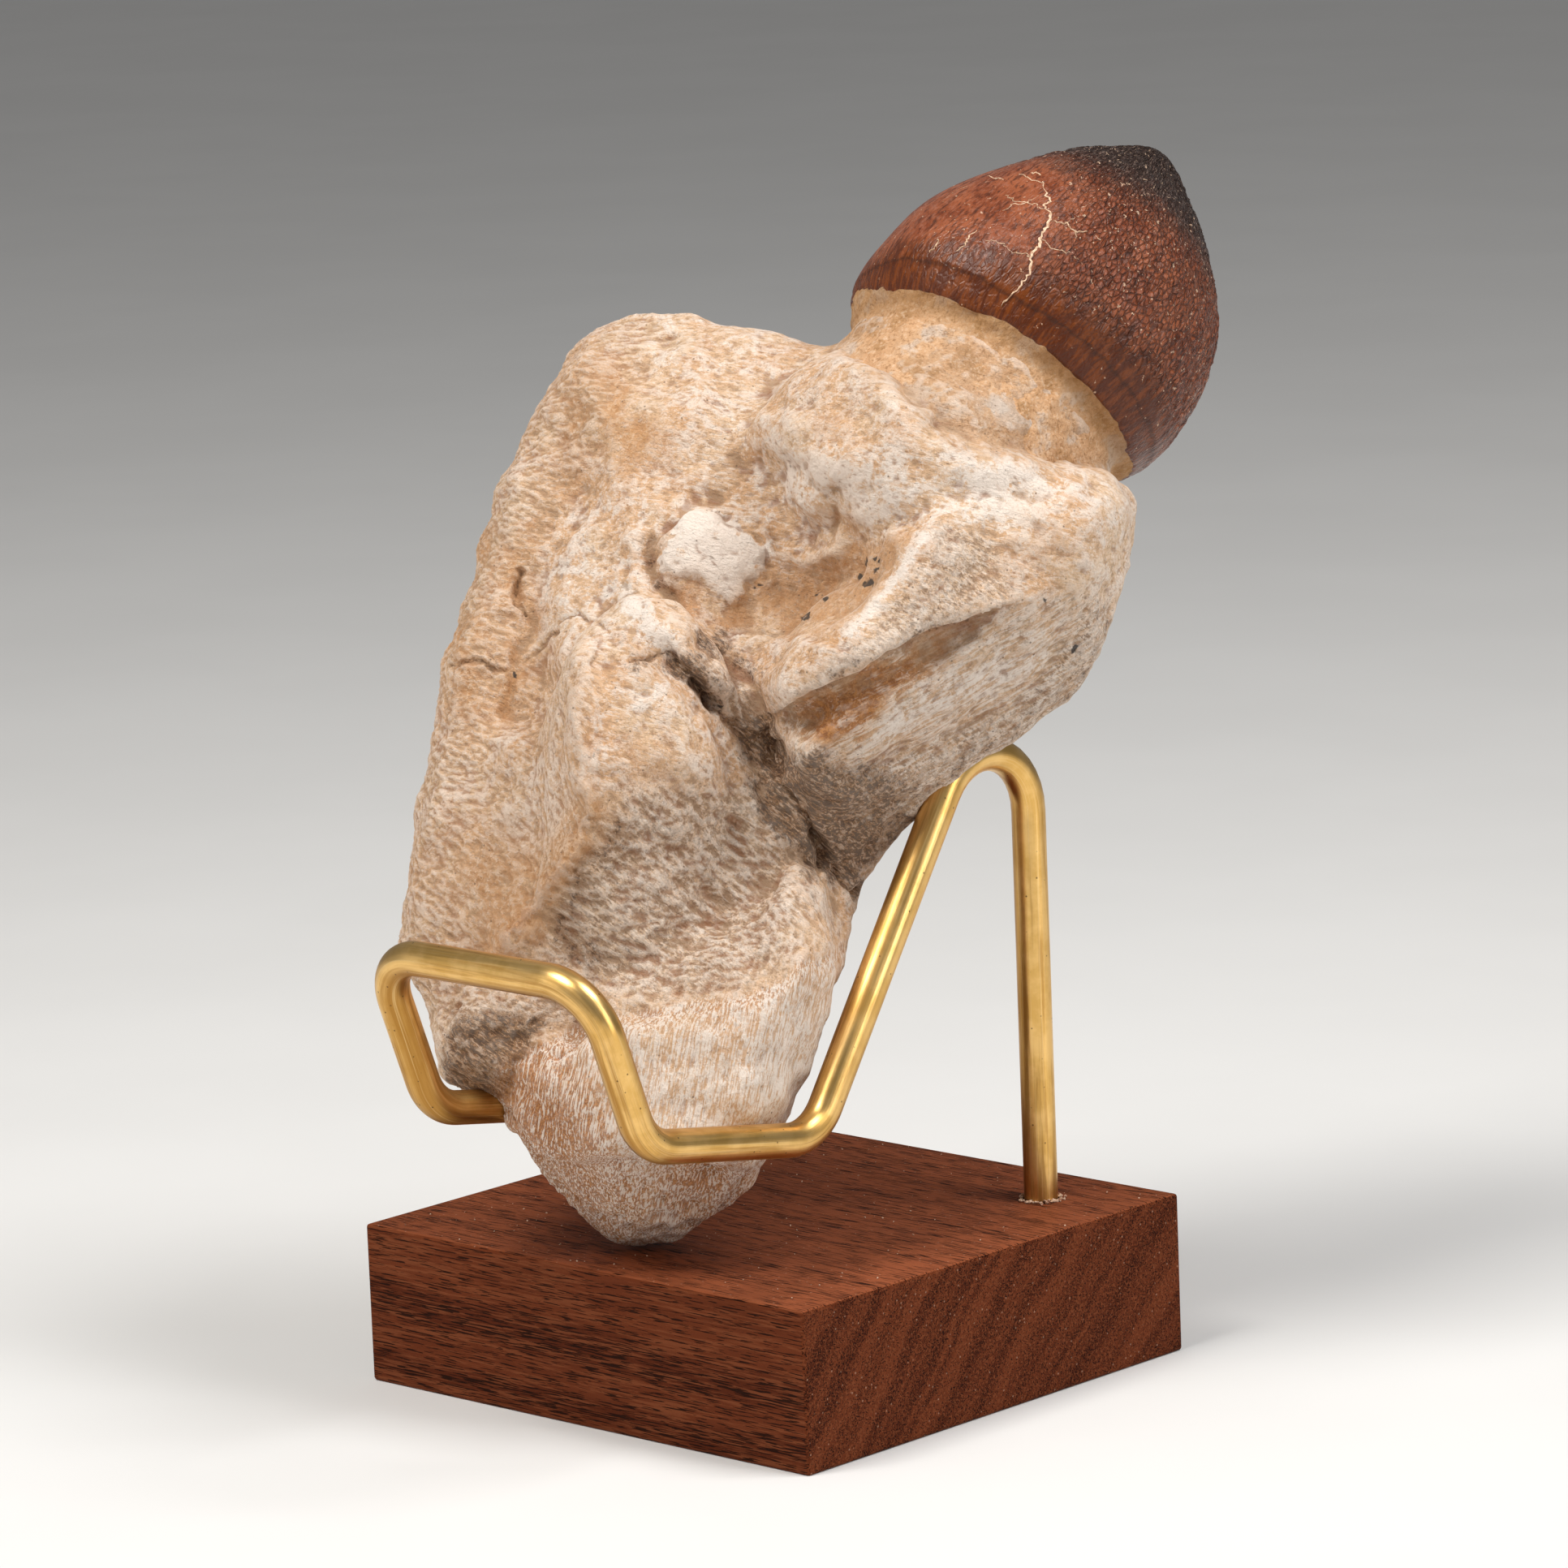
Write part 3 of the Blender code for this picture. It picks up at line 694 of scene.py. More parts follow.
BROKEN_LUMP = [
    (-38.3, 42.9), (-33.3, 45.1), (-25.9, 43.5), (-22.2, 42.1), (-27.7, 38.3), (-30.1, 32.5), (-38.3, 32.1),
]
PLATE_LEFT = [
    (-33, 85), (-24, 84), (-20.7, 81.2), (-21.5, 69.9), (-20.7, 65), (-24.3, 58.6), (-31, 49), (-42, 46),
    (-46, 60), (-42, 76),
]
KNUCKLE_FACE = [
    (0, 77), (9.2, 81.4), (17.1, 86), (22.9, 87.7), (34, 90), (42, 86), (36, 72), (22, 66), (6, 62), (1, 69),
]

# Band of rougher, browner bone between the ridge and the crease, and along the knuckle's lower rim, where it
# also carries painted shadow under the knuckle
BROWN_BAND = [
    (2.5, 79), (6.2, 82.6), (10.5, 86.2), (14.6, 89.8), (17.2, 94.5), (19, 98), (25, 96), (27, 90),
    (20.2, 87.6), (13.5, 84.2), (9.2, 81.8), (5, 79.6),
]
LOWER_RIM = [
    (-1, 73), (7, 70.5), (15.5, 71), (25.7, 76), (32, 82), (36, 90), (44, 88), (36, 70), (22, 61), (6, 58),
    (-3, 66),
]
# Where the jaw's bone has grown up into the sandy root of the tooth
ROOT_SKIN = [
    (6.8, 118.9), (10.3, 116.2), (14, 113.9), (17.7, 109.7), (21.4, 106.9), (26.1, 105.6), (31.5, 105.2),
    (40, 103.8), (50, 104), (45, 138), (0, 138), (3, 122),
]
BROW = [(8, 115.6), (12.5, 112), (17, 106.4), (22, 104.3), (29, 103.8), (36, 103.2), (39.5, 100.8)]
BROW_VALLEY = [(9.5, 118.2), (14, 115), (18.6, 110.6), (23, 107.8), (29, 106.6), (35, 106)]

# Fine relief: the course, the reach and the height of its ridges and grooves
FINE_RIDGES = [
    (RIDGE, 2, 0.25),
    ([(8.6, 94.4), (11, 96.2)], 3.6, 0.6),
    ([(1, 69), (8, 67.5), (16, 69), (25.7, 74.5), (33, 81), (37.5, 88)], 1.8, 0.9),
    ([(-17.9, 91.2), (-15.5, 87.5), (-12.8, 85.2)], 2, 0.5),
    (BROW, 3, 1.5),
    (BROW_VALLEY, 2.2, -1.5),
    ([(5, 75.8), (12, 79.2), (18, 82.6)], 2.8, -0.6),
    ([(-8.4, 84.4), (-5.6, 82.4), (-3, 79.6), (-1, 75.6)], 0.9, -0.7),
    ([(-11.4, 84.4), (-8.2, 81.4), (-5.4, 78.6), (-3, 74.4)], 0.7, 0.5),
    ([(-1.5, 97.5), (-0.2, 94.9), (2.4, 93.9), (5.6, 95.2)], 0.9, 0.55),
    ([(6.4, 101.5), (7, 98.2), (5.4, 95.6)], 1, -0.6),
    ([(2.8, 98.6)], 3.2, 0.2),
    (CRESCENT, 0.9, -0.7),
    ([(-12.8, 98), (-10.5, 101.6), (-6.5, 101.4)], 0.9, -0.5),
    ([(-16.4, 97), (-16.6, 92), (-14.5, 88.5)], 1.2, 0.5),
    (VALLEY[2:], 1.2, -0.6),
    ([(-22.6, 101.2), (-24.4, 98.6), (-27, 95.2)], 1.3, 0.6),
    (PLATE_EDGE, 1.6, 0.7),
    ([(-17.5, 80), (-14, 81.4), (-9, 77.2), (-5, 72), (-3.2, 66.5)], 1.8, 0.7),
    ([(9, 72.5), (18, 77.5), (28, 81.5)], 1.8, 0.3),
    ([(10, 70), (20, 74.6), (30, 78.6)], 1, -0.35),
    ([(22, 100), (30, 98), (35.5, 93)], 1.6, 0.4),
    ([(20, 96.5), (27, 94.5), (31, 90)], 1.6, -0.45),
    ([(-9, 106.5), (0, 104.8), (8, 101)], 2, -0.4),
    ([(-18, 116), (-8, 114.5), (2, 112), (10, 110)], 1.8, -0.4),
    ([(-16, 40), (-14, 30), (-15, 20)], 2, 0.4),
    ([(-4, 42), (-6, 32), (-8, 24)], 1.6, -0.4),
]

# Narrow cracks: the course, half the width and the depth
CRACKS = [
    ([(-16.2, 82.6), (-12.1, 83.8), (-10.2, 81.6)], 0.5, 0.7),
    ([(-9.4, 80.2), (-7.7, 77.9), (-6.3, 76.4)], 0.9, 2),
    (FISSURE_LOW, 0.8, 1.5),
    ([(2.4, 65.4), (4.6, 61.6)], 1.2, 1.6),
    ([(5, 59.6), (6, 58)], 1.1, 1.4),
    ([(-7.8, 78.4), (-7, 77.4)], 0.9, 1.6),
    ([(-37.6, 82), (-35.6, 82.4), (-34, 83), (-33, 82), (-31.2, 81.5)], 0.40, 0.5),
    ([(-25.1, 87.4), (-23.6, 87.8), (-20.6, 86.7), (-19.2, 85.9)], 0.45, 0.6),
    ([(-25.4, 85.9), (-26.6, 85), (-29.2, 82.9)], 0.45, 0.6),
    ([(-29.9, 93), (-29.9, 89.7), (-29.4, 87.8)], 0.5, 0.8),
    ([(-13.9, 120.3), (-12.2, 120.4)], 0.8, 0.8),
    ([(-7.4, 100.5), (-5.5, 99.2)], 0.5, 0.8),
    ([(-25, 38), (-22.5, 40.5)], 1, 1),
]

# Steps, higher on the left of the course: the course, the fade, the height and how far it strays
STEPS = [
    (CREASE, 3.2, 1.9, 0.3),
    (FISSURE_TOP[3:], 2.4, 0.8, 1),
    (LEDGE, 2.5, 0.35, 1.4),
    (KNOB + KNOB[:1], 2.4, -0.45, 1.9),
    (list(reversed(PLATE_EDGE)), 3, 0.7, 1.5),
    ([(-30.5, 31), (-26.8, 25.5), (-20.5, 19.8), (-15, 17.5), (-8.5, 18.8), (-4, 23.5)], 2.6, 1, 1.5),
    ([(6.2, 83.9), (2, 85.2), (-3.5, 85.4)], 2, 0.5, 1),
]
# Small black growths on the sunken floor and the knuckle
INK_SPOTS = [
    (-1.8, 91.2), (4.9, 89.9), (2.8, 87.8), (3.7, 88.1), (6, 88.4), (11.1, 94), (10.6, 92.6), (9.6, 91.9),
    (-7.2, 77.5), (30.4, 89.4), (34.3, 84.1), (-30, 80.6), (-36, 61),
]

# Spots of colour: the share, the place in right and up, and the reach
RUST_SPOTS = [
    (0.9, -27, 30, 6.5), (0.7, -22, 20, 6), (0.6, -8, 22, 5), (0.6, -37, 86, 4), (0.4, -36, 79, 3),
    (0.6, -10, 89.5, 2.4), (0.45, -16, 108, 5), (0.45, -20, 112, 6), (0.5, -36, 96, 4), (0.4, -33, 58, 6),
    (0.5, -15, 72, 4), (0.4, 6, 109, 5), (0.6, 8, 98, 2), (0.4, 30, 95, 5),
]
PALE_SPOTS = [
    (0.7, 24, 101.5, 6), (0.8, 3, 103.5, 5), (0.6, 12, 101.5, 5), (0.5, -24, 91, 4), (0.5, 0, 36, 6),
    (0.4, -14, 78, 4), (0.5, -1, 95, 1.6), (0.35, -27, 66, 6), (0.4, 30, 101, 6),
]
SOIL_SPOTS = [
    (0.75, 2.5, 68.5, 4.5), (0.7, 9, 65.5, 5), (0.5, 5, 61, 4), (0.8, -7.5, 85, 1.8), (0.15, -2, 68, 4),
]
ROOT_GREY_SPOTS = [(0.9, 31, 109.5, 3.2), (0.5, 25, 110.5, 2.5)]
ROOT_RUST_SPOTS = [(0.9, 37, 107, 3), (0.4, 13, 117, 4)]

# Direction of the bone's fibres: a place in the face and the angle from its right
FIBRES = [
    ((-28, 112), -12), ((-33, 95), -15), ((-37, 82), -20), ((-39, 70), -25), ((-40, 58), -30),
    ((-12, 114), -10), ((2, 110), -8), ((10, 106), -22), ((-20, 95), -35), ((-14, 87), -60),
    ((-25, 75), -42), ((-28, 62), -38), ((-12, 74), -45), ((-8, 62), -25), ((-12, 50), -12),
    ((0, 60), -40), ((-4, 35), 78), ((-18, 32), 82), ((5, 45), 68), ((-12, 22), 75),
    ((15, 78), 27), ((28, 80), 27), ((10, 90), 42), ((28, 100), -15), ((-33, 38), -10),
]


def body_depth(right, up):
    return 26.0 - 0.30 * (up - 53.0) + 0.18 * right


def lobe_depth(right, up):
    return 28.5 - 0.75 * np.maximum(27.0 - up, 0.0) + 0.15 * (right + 14.0)


def knuckle_depth(right, up):
    return 27.0 - 0.10 * (up - 85.0) - 0.10 * (right - 20.0)


def add_lump(bm, outline, depth_of, front, back, fullness=0.62, rings=14):
    """A pebble with the given outline, thick at its middle and rounded at its rim."""
    rim = closed_curve(outline, 5)
    middle = rim.mean(axis=0)
    loops = []
    for step in range(1, rings):
        turn = math.pi * (step / rings - 0.5)
        spread = math.cos(turn) ** fullness
        rise = abs(math.sin(turn)) ** (2.0 - fullness) * (front if turn > 0 else -back)
        ring = middle + (rim - middle) * spread
        depth = depth_of(ring[:, 0], ring[:, 1]) + rise
        places = np.column_stack([ring, depth]) @ FACE * MM
        loops.append([bm.verts.new(place) for place in places])
    skin_rings(bm, loops)


def add_ball(bm, centre, radii):
    """An egg-shaped lump given in face directions."""
    made = bmesh.ops.create_icosphere(bm, subdivisions=3, radius=1.0)
    for vert in made["verts"]:
        local = np.array(vert.co) * np.array(radii) + np.array(centre)
        vert.co = Vector(local @ FACE * MM)


def add_collar(bm):
    """The swelling of the jaw that grips the foot of the tooth."""
    made = bmesh.ops.create_icosphere(bm, subdivisions=3, radius=MM)
    size = Matrix.Diagonal((COLLAR_RADIUS, COLLAR_RADIUS, COLLAR_HEIGHT, 1.0))
    place = tooth_frame() @ Matrix.Translation((0, 0, -COLLAR_BELOW * MM)) @ size
    bmesh.ops.transform(bm, matrix=place, verts=made["verts"])


def rough_jaw():
    bm = bmesh.new()
    add_lump(bm, JAW_BODY, body_depth, front=12.0, back=13.0)
    add_lump(bm, LOWER_LOBE, lobe_depth, front=12.0, back=11.5)
    add_lump(bm, KNUCKLE, knuckle_depth, front=14.0, back=10.0, fullness=0.5)
    add_collar(bm)
    # Plate that stands out beside the fissure
    add_ball(bm, (-15.0, 66.0, 27.0), (13.0, 24.0, 12.5))
    # Broken lump at the lower left
    add_ball(bm, (-33.5, 39.5, 23.5), (7.0, 7.0, 8.0))
    # Floor that closes the gap between the boss and the knuckle
    add_ball(bm, (9.5, 94.5, 24.5), (5.5, 5.0, 6.5))
    return mesh_from_bmesh("rough_jaw", bm)


def root_core():
    """The part of the root that the jaw has grown round, a little slimmer than the root itself."""
    bm = bmesh.new()
    depth = 14.0
    wider = ROOT_RADIUS + 1.0
    slimmer = ROOT_RADIUS - 0.7
    bmesh.ops.create_cone(
        bm, cap_ends=True, segments=64, radius1=wider * MM, radius2=slimmer * MM, depth=depth * MM,
    )
    bmesh.ops.translate(bm, vec=(0, 0, -(4.0 + depth / 2) * MM), verts=bm.verts)
    bmesh.ops.transform(bm, matrix=tooth_frame(), verts=bm.verts)
    return bm


def sculpt_form(mesh):
    """Carves the main relief, the flat faces and the lumpy surface of the bone."""
    places, normals = vertex_arrays(mesh)
    face = places @ FACE.T
    outward = normals @ FACE[2]
    lift = np.zeros(len(face))
    for side, strokes in ((1.0, RELIEF), (-1.0, BACK_RELIEF)):
        facing = smooth_step(0.05, 0.55, side * outward)
        for course, reach, height in strokes:
            near = course_distance(face[:, :2], course)[0] / reach
            lift += height * np.exp(-near ** 2 * 1.4) * facing
    for i, place in enumerate(places):
        broad = noise.noise(Vector(place * 0.085))
        lumps = noise.noise(Vector(place * 0.24 + 9.0))
        lift[i] += 1.1 * broad + 0.7 * lumps
    places = places + normals * lift[:, None]
    for point, outward, reach in FACETS:
        outward = np.array(outward) @ FACE
        outward = outward / np.linalg.norm(outward)
        point = np.array(point) @ FACE
        above = np.maximum((places - point) @ outward, 0.0)
        weight = 1.0 - smooth_step(0.8, 1.2, np.linalg.norm(places - point, axis=1) / reach)
        places = places - outward * (above * weight * 0.9)[:, None]
    places[:, 2] = np.maximum(places[:, 2], BASE_HEIGHT + TIP_CLEARANCE)
    set_places(mesh, places)


def join_root(mesh):
    """The jaw's skin carried up round the foot of the root in a smooth sweep."""
    bm = root_core()
    bm.from_mesh(mesh)
    joined = one_body(mesh_from_bmesh("joined", bm), FORM_VOXEL, 4)
    places, _ = vertex_arrays(joined)
    inverse = np.array(tooth_frame().inverted())
    local = (np.column_stack([places * MM, np.ones(len(places))]) @ inverse.T)[:, :3] / MM
    across = np.linalg.norm(local[:, :2], axis=1)
    height = local[:, 2]
    near = smooth_step(7.0, 1.0, np.abs(across - ROOT_RADIUS - 1.5)) * smooth_step(0.0, 3.0, -4.6 - height)
    near *= smooth_step(-24.0, -16.0, height)
    set_places(joined, relaxed(places, edge_array(joined), JOIN_PASSES, near))
    return joined


def fibre_angles(points):
    """Angle of the fibres at each place in the face, from the known ones around it."""
    cosine = np.zeros(len(points))
    sine = np.zeros(len(points))
    for place, angle in FIBRES:
        weight = 1.0 / (9.0 + ((points - place) ** 2).sum(axis=1)) ** 2
        cosine += weight * math.cos(2 * math.radians(angle))
        sine += weight * math.sin(2 * math.radians(angle))
    return 0.5 * np.arctan2(sine, cosine)


def areas(face):
    """Shares of the areas with their own grain, from the place in the broad face."""
    flat = face[:, :2] + wander(face, 31, [(0.8, 3.0)])
    strip = 1.0 - smooth_step(4.0, 7.5, course_distance(flat, MARGIN)[0])
    lobe = patch(flat, LOBE_FACE, 0.7)
    knuckle = patch(flat, KNUCKLE_FACE, 1.0)
    plate = patch(flat, PLATE_LEFT, 1.5) * (1.0 - strip)
    return strip, plate, lobe, knuckle


def press_pits(places, normals, face, rng):
    """Depth of many small pits and grooves that follow the fibres, as in porous bone."""
    strip, plate, lobe, knuckle = areas(face)
    smooth = patch(face[:, :2], KNOB, 1.0) * (normals @ FACE[2] > 0)
    cell = FINE_VOXEL ** 2
    rugged = patch(face[:, :2], SHADED_HOLLOW, 3.0) * (1.0 - lobe) + patch(face[:, :2], BROKEN_LUMP, 1.5)
    rugged = np.clip(rugged, 0.0, 1.0) * (normals @ FACE[2] > 0)
    density = 0.36 + 0.90 * strip + 0.60 * plate - 0.15 * lobe - 0.10 * knuckle + 0.20 * rugged
    density *= 1.0 - 0.9 * smooth
    density *= 1.0 - 0.8 * smooth_step(14.0, 22.0, face[:, 0]) * smooth_step(92.0, 98.0, face[:, 1])
    chosen = np.flatnonzero(rng.random(len(places)) < density * cell)
    length = 0.45 + 0.50 * strip + 0.25 * plate + 0.90 * lobe + 0.25 * knuckle + 0.45 * rugged
    width = 0.26 + 0.02 * strip + 0.10 * rugged
    depth = 0.11 + 0.19 * strip + 0.09 * plate - 0.03 * lobe + 0.17 * rugged
    angles = fibre_angles(face[:, :2])
    tree = tree_of(places)
    sunk = np.zeros(len(places))
    sizes = rng.uniform(0.6, 1.35, len(chosen))
    swings = rng.normal(0.0, 0.22, len(chosen))
    for i, size, swing in zip(chosen, sizes, swings):
        angle = angles[i] + swing
        along = np.array([math.cos(angle), math.sin(angle), 0.0]) @ FACE
        along = along - normals[i] * (along @ normals[i])
        along /= max(np.linalg.norm(along), 1e-6)
        reach = length[i] * size
        near = [found[1] for found in tree.find_range(places[i], 1.8 * reach)]
        offset = places[near] - places[i]
        forward = offset @ along
        sideways = np.maximum((offset ** 2).sum(axis=1) - forward ** 2, 0.0)
        shape = np.exp(-(forward / reach) ** 2 - sideways / (width[i] * size) ** 2)
        sunk[near] = np.maximum(sunk[near], depth[i] * size * shape)
    return sunk


def fine_relief(face, outward):
    """Height added by the fine ridges, steps and cracks of the broad face."""
    facing = smooth_step(0.0, 0.4, outward)
    strayed = wander(face, 41, [(0.55, 3.4), (0.28, 1.1)])
    flat = face[:, :2] + strayed
    lift = np.zeros(len(face))
    for course, reach, height in FINE_RIDGES:
        near = course_distance(flat, course)[0] / reach
        lift += height * np.exp(-near ** 2 * 1.4)
    for course, fade, height, stray in STEPS:
        apart, side = course_distance(face[:, :2] + stray * strayed, course)
        edge = np.clip(side * apart / 0.45, -1.0, 1.0)
        lift += 0.5 * height * edge * np.exp(-(apart / fade) ** 2 * 1.4)
    gape = 0.45 + 0.75 * smooth_step(-0.35, 0.35, ripple(face, 3.6, 45))
    for course, half_width, depth in CRACKS:
        apart = course_distance(flat, course)[0]
        lift -= depth * gape * np.maximum(1.0 - apart / (half_width * gape), 0.0)
    for spot in INK_SPOTS:
        apart = np.linalg.norm(face[:, :2] - spot, axis=1)
        lift += 0.12 * np.exp(-(apart / 0.5) ** 2)
    return lift * facing


def clear_of_rod(places, normals, edges):
    """Presses the skin in, along its own slope, where the rod bears on it."""
    path = [np.array(point) for point in rod_path(10)]
    room = ROD_DIAMETER / 2 + ROD_CLEARANCE
    inward = relaxed(-normals, edges, 6)
    inward /= np.maximum(np.linalg.norm(inward, axis=1), 1e-6)[:, None]
    near = np.flatnonzero(course_distance(places, path)[0] < room + 2.5)
    for _ in range(14):
        short = room - course_distance(places[near], path)[0]
        places[near] += inward[near] * np.maximum(short, 0.0)[:, None] * 0.8
    return places


def sculpt_fine(mesh):
    """Carves the fine relief and returns the fields that colour it, one value for each vertex."""
    rng = np.random.default_rng(PIT_SEED)
    places, normals = vertex_arrays(mesh)
    edges = edge_array(mesh)
    face = places @ FACE.T
    outward = normals @ FACE[2]
    broken = patch(face[:, :2], BROKEN_LUMP, 1.0) * smooth_step(-0.3, 0.3, outward)
    rim = smooth_step(24.5, 19.0, face[:, 1])
    rough = np.clip(broken + rim, 0.0, 1.0)
    lift = fine_relief(face, outward)
    lift += 0.34 * ripple(places, 3.6, 51) + 0.16 * ripple(places, 1.7, 52)
    lift += (0.08 + 0.16 * rough) * (1.0 - 2.0 * np.abs(ripple(places, 1.5, 53)))
    lift += (0.06 + 0.07 * rough) * ripple(places, 0.8, 54)
    set_places(mesh, places + normals * lift[:, None])
    places, normals = vertex_arrays(mesh)
    pits = press_pits(places, normals, face, rng)
    places = places - normals * pits[:, None]
    places = clear_of_rod(places, normals, edges)
    places[:, 2] = np.maximum(places[:, 2], BASE_HEIGHT + FINE_TIP_CLEARANCE)
    places = np.clip(places, np.array(CAD_LOW) / MM + BOX_MARGIN, np.array(CAD_HIGH) / MM - BOX_MARGIN)
    set_places(mesh, places)

    near_mean = ((places - relaxed(places, edges, 3)) * normals).sum(axis=1)
    broad_mean = ((places - relaxed(places, edges, 45)) * normals).sum(axis=1)
    return {
        "pits": np.clip(pits / 0.3, 0.0, 1.0),
        "crests": np.clip(near_mean / 0.06, -1.0, 1.0),
        "hollows": np.clip(-broad_mean / 0.55, -1.0, 1.0),
    }


def paint_jaw(mesh, fields):
    """Where the stains, the bleached bone, the painted shade and the grain of each area lie."""
    places, normals = vertex_arrays(mesh)
    face = places @ FACE.T
    outward = smooth_step(-0.1, 0.35, normals @ FACE[2])
    flat = face[:, :2] + wander(face, 61, [(0.9, 4.0), (0.5, 1.4)])
    ragged = flat + wander(face, 65, [(0.7, 1.1)])

    def along(course, reach):
        return np.exp(-(course_distance(flat, course)[0] / reach) ** 2)

    def spots(marks):
        return sum(share * along([(right, up)], reach) for share, right, up, reach in marks)

    strip, plate, lobe, knuckle = areas(face)
    floor = patch(flat, SUNKEN_FLOOR, 0.9)
    groove = patch(flat, GROOVE_FLOOR, 1.2) * (1.0 - smooth_step(10.0, 24.0, face[:, 0]))
    knob = patch(ragged, KNOB, 0.35)
    shaded_hollow = patch(flat, SHADED_HOLLOW, 4.0)
    broken = patch(flat, BROKEN_LUMP, 1.2)
    band = patch(flat, BROWN_BAND, 1.0)
    rim = patch(flat, LOWER_RIM, 2.5)
    sandy = patch(flat, ROOT_SKIN, 2.2)
    gape = 0.45 + 0.55 * smooth_step(-0.3, 0.4, ripple(face, 3.6, 45))
    fissure = np.maximum(along(FISSURE_TOP, 1.7), along(FISSURE_LOW, 1.5)) * gape
    fold = along([(-10.5, 82.6), (-6.0, 80.5), (-3.6, 77.0), (-2.2, 73.0)], 2.2)
    rust = (
        spots(RUST_SPOTS) + 0.62 * floor + 1.25 * groove + 0.15 * lobe + 0.24 * plate + 0.20 * strip
        + 0.45 * along(VALLEY, 2.0) + 0.60 * along(PLATE_EDGE[3:], 3.0) + 0.2 * along(LEDGE, 2.5)
        + sandy * spots(ROOT_RUST_SPOTS)
    )
    pale = (
        spots(PALE_SPOTS) + 1.3 * knob + 0.45 * lobe + 0.2 * strip + 0.2 * plate + 0.9 * along(LIP, 1.8)
        + 1.0 * along([(6.0, 85.0), (10.0, 88.8), (13.2, 91.8), (15.4, 95.6)], 1.3)
        + 0.6 * along([(12.0, 74.0), (20.0, 78.5), (30.0, 84.0)], 2.2)
    ) * (1.0 - 0.8 * floor * (1.0 - knob)) * (1.0 - groove) * (1.0 - 0.7 * band)
    # Grey over dull bone: partly duller bone, partly painted shade over the hollow face right of the plate
    # and under the knuckle's lower rim
    dull_and_shade = (
        0.85 * shaded_hollow + 0.40 * knuckle * (1.0 - groove) + 1.0 * broken + 0.75 * band + 0.6 * rim + 0.8 * fold
        + sandy * spots(ROOT_GREY_SPOTS)
    )
    # Dark soil: partly real soil in the cracks, partly painted shadow along the crease, under the knuckle's
    # lower rim and over the hollow face
    soil_and_shade = (
        spots(SOIL_SPOTS) + 0.85 * fissure + 0.9 * broken * smooth_step(46.0, 40.0, face[:, 1])
        + 0.45 * fold + 0.45 * rim + 0.1 * band + 0.2 * shaded_hollow
        + 0.6 * along(CRESCENT, 0.7) + 0.5 * along(CREASE, 0.9) + 0.5 * along(VALLEY[2:], 1.0)
        + 0.15 * along(LEDGE, 1.4) + 0.5 * along([(-37.6, 82.0), (-34.0, 83.0), (-31.2, 81.5)], 0.4)
        + 0.45 * along([(-18.5, 66.0), (-21.5, 58.5), (-26.0, 51.5), (-20.0, 48.5)], 2.2)
        + 0.6 * along([(-7.2, 85.2), (-4.4, 83.0), (-2.0, 80.5), (-0.8, 77.0), (-1.0, 74.0)], 1.0) * gape
    )
    ink = np.zeros(len(face))
    for place in INK_SPOTS:
        ink = np.maximum(ink, np.exp(-((ragged - place) ** 2).sum(axis=1) / 0.42 ** 2))
    back = 1.0 - outward
    fields = {
        **fields,
        "rust": np.clip(rust * outward + back * 0.25 * (1 + ripple(places, 12.0, 72)), 0.0, 1.0),
        "pale": np.clip(pale * outward + back * 0.2 * (1 + ripple(places, 15.0, 73)), 0.0, 1.0),
        "dull_and_shade": np.clip(dull_and_shade * outward + back * 0.25, 0.0, 1.0),
        "soil_and_shade": np.clip(soil_and_shade * outward, 0.0, 1.0),
        "ink": ink * outward,
        "sandy": sandy,
        "lobe": lobe,
        "plate": np.clip(plate + shaded_hollow * (1.0 - lobe), 0.0, 1.0),
        "knuckle": knuckle,
    }
    for name, values in fields.items():
        set_field(mesh, name, values)


def make_jaw(bone):
    mesh = one_body(rough_jaw(), FORM_VOXEL, FORM_PASSES)
    sculpt_form(mesh)
    mesh = join_root(mesh)
    mesh = one_body(mesh, FINE_VOXEL, FINE_PASSES)
    fields = sculpt_fine(mesh)
    tree = tree_of(vertex_arrays(mesh)[0])

    jaw = add_object("jaw_work", mesh)
    fewer = jaw.modifiers.new("fewer faces", "DECIMATE")
    triangles = sum(len(face.vertices) - 2 for face in mesh.polygons)
    fewer.ratio = min(1.0, JAW_TRIANGLES / triangles)
    fewer.use_collapse_triangulate = True
    mesh = evaluated_mesh(jaw, "jaw_fine")
    places, _ = vertex_arrays(mesh)
    nearest = [tree.find(place)[1] for place in places]
    paint_jaw(mesh, {name: values[nearest] for name, values in fields.items()})
    mesh.shade_smooth()
    jaw = add_object("jaw_fine", mesh, [bone])
    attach(jaw, "root")
    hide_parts("jaw_bone")
    return jaw


# Dust and glue on the block

def add_grain(bm, rng, place, size):
    """One small irregular crumb that lies on the block."""
    turn = Matrix.Rotation(rng.uniform(0.0, math.tau), 4, Vector((rng.normal(), rng.normal(), rng.normal())))
    stretch = Matrix.Diagonal((rng.uniform(0.7, 1.5), rng.uniform(0.6, 1.1), rng.uniform(0.5, 0.9), 1.0))
    matrix = Matrix.Translation(place * MM) @ turn @ stretch
    made = bmesh.ops.create_icosphere(bm, subdivisions=1, radius=size * MM, matrix=matrix)
    for vert in made["verts"]:
        vert.co += Vector(rng.normal(0.0, 0.14 * size, 3)) * MM


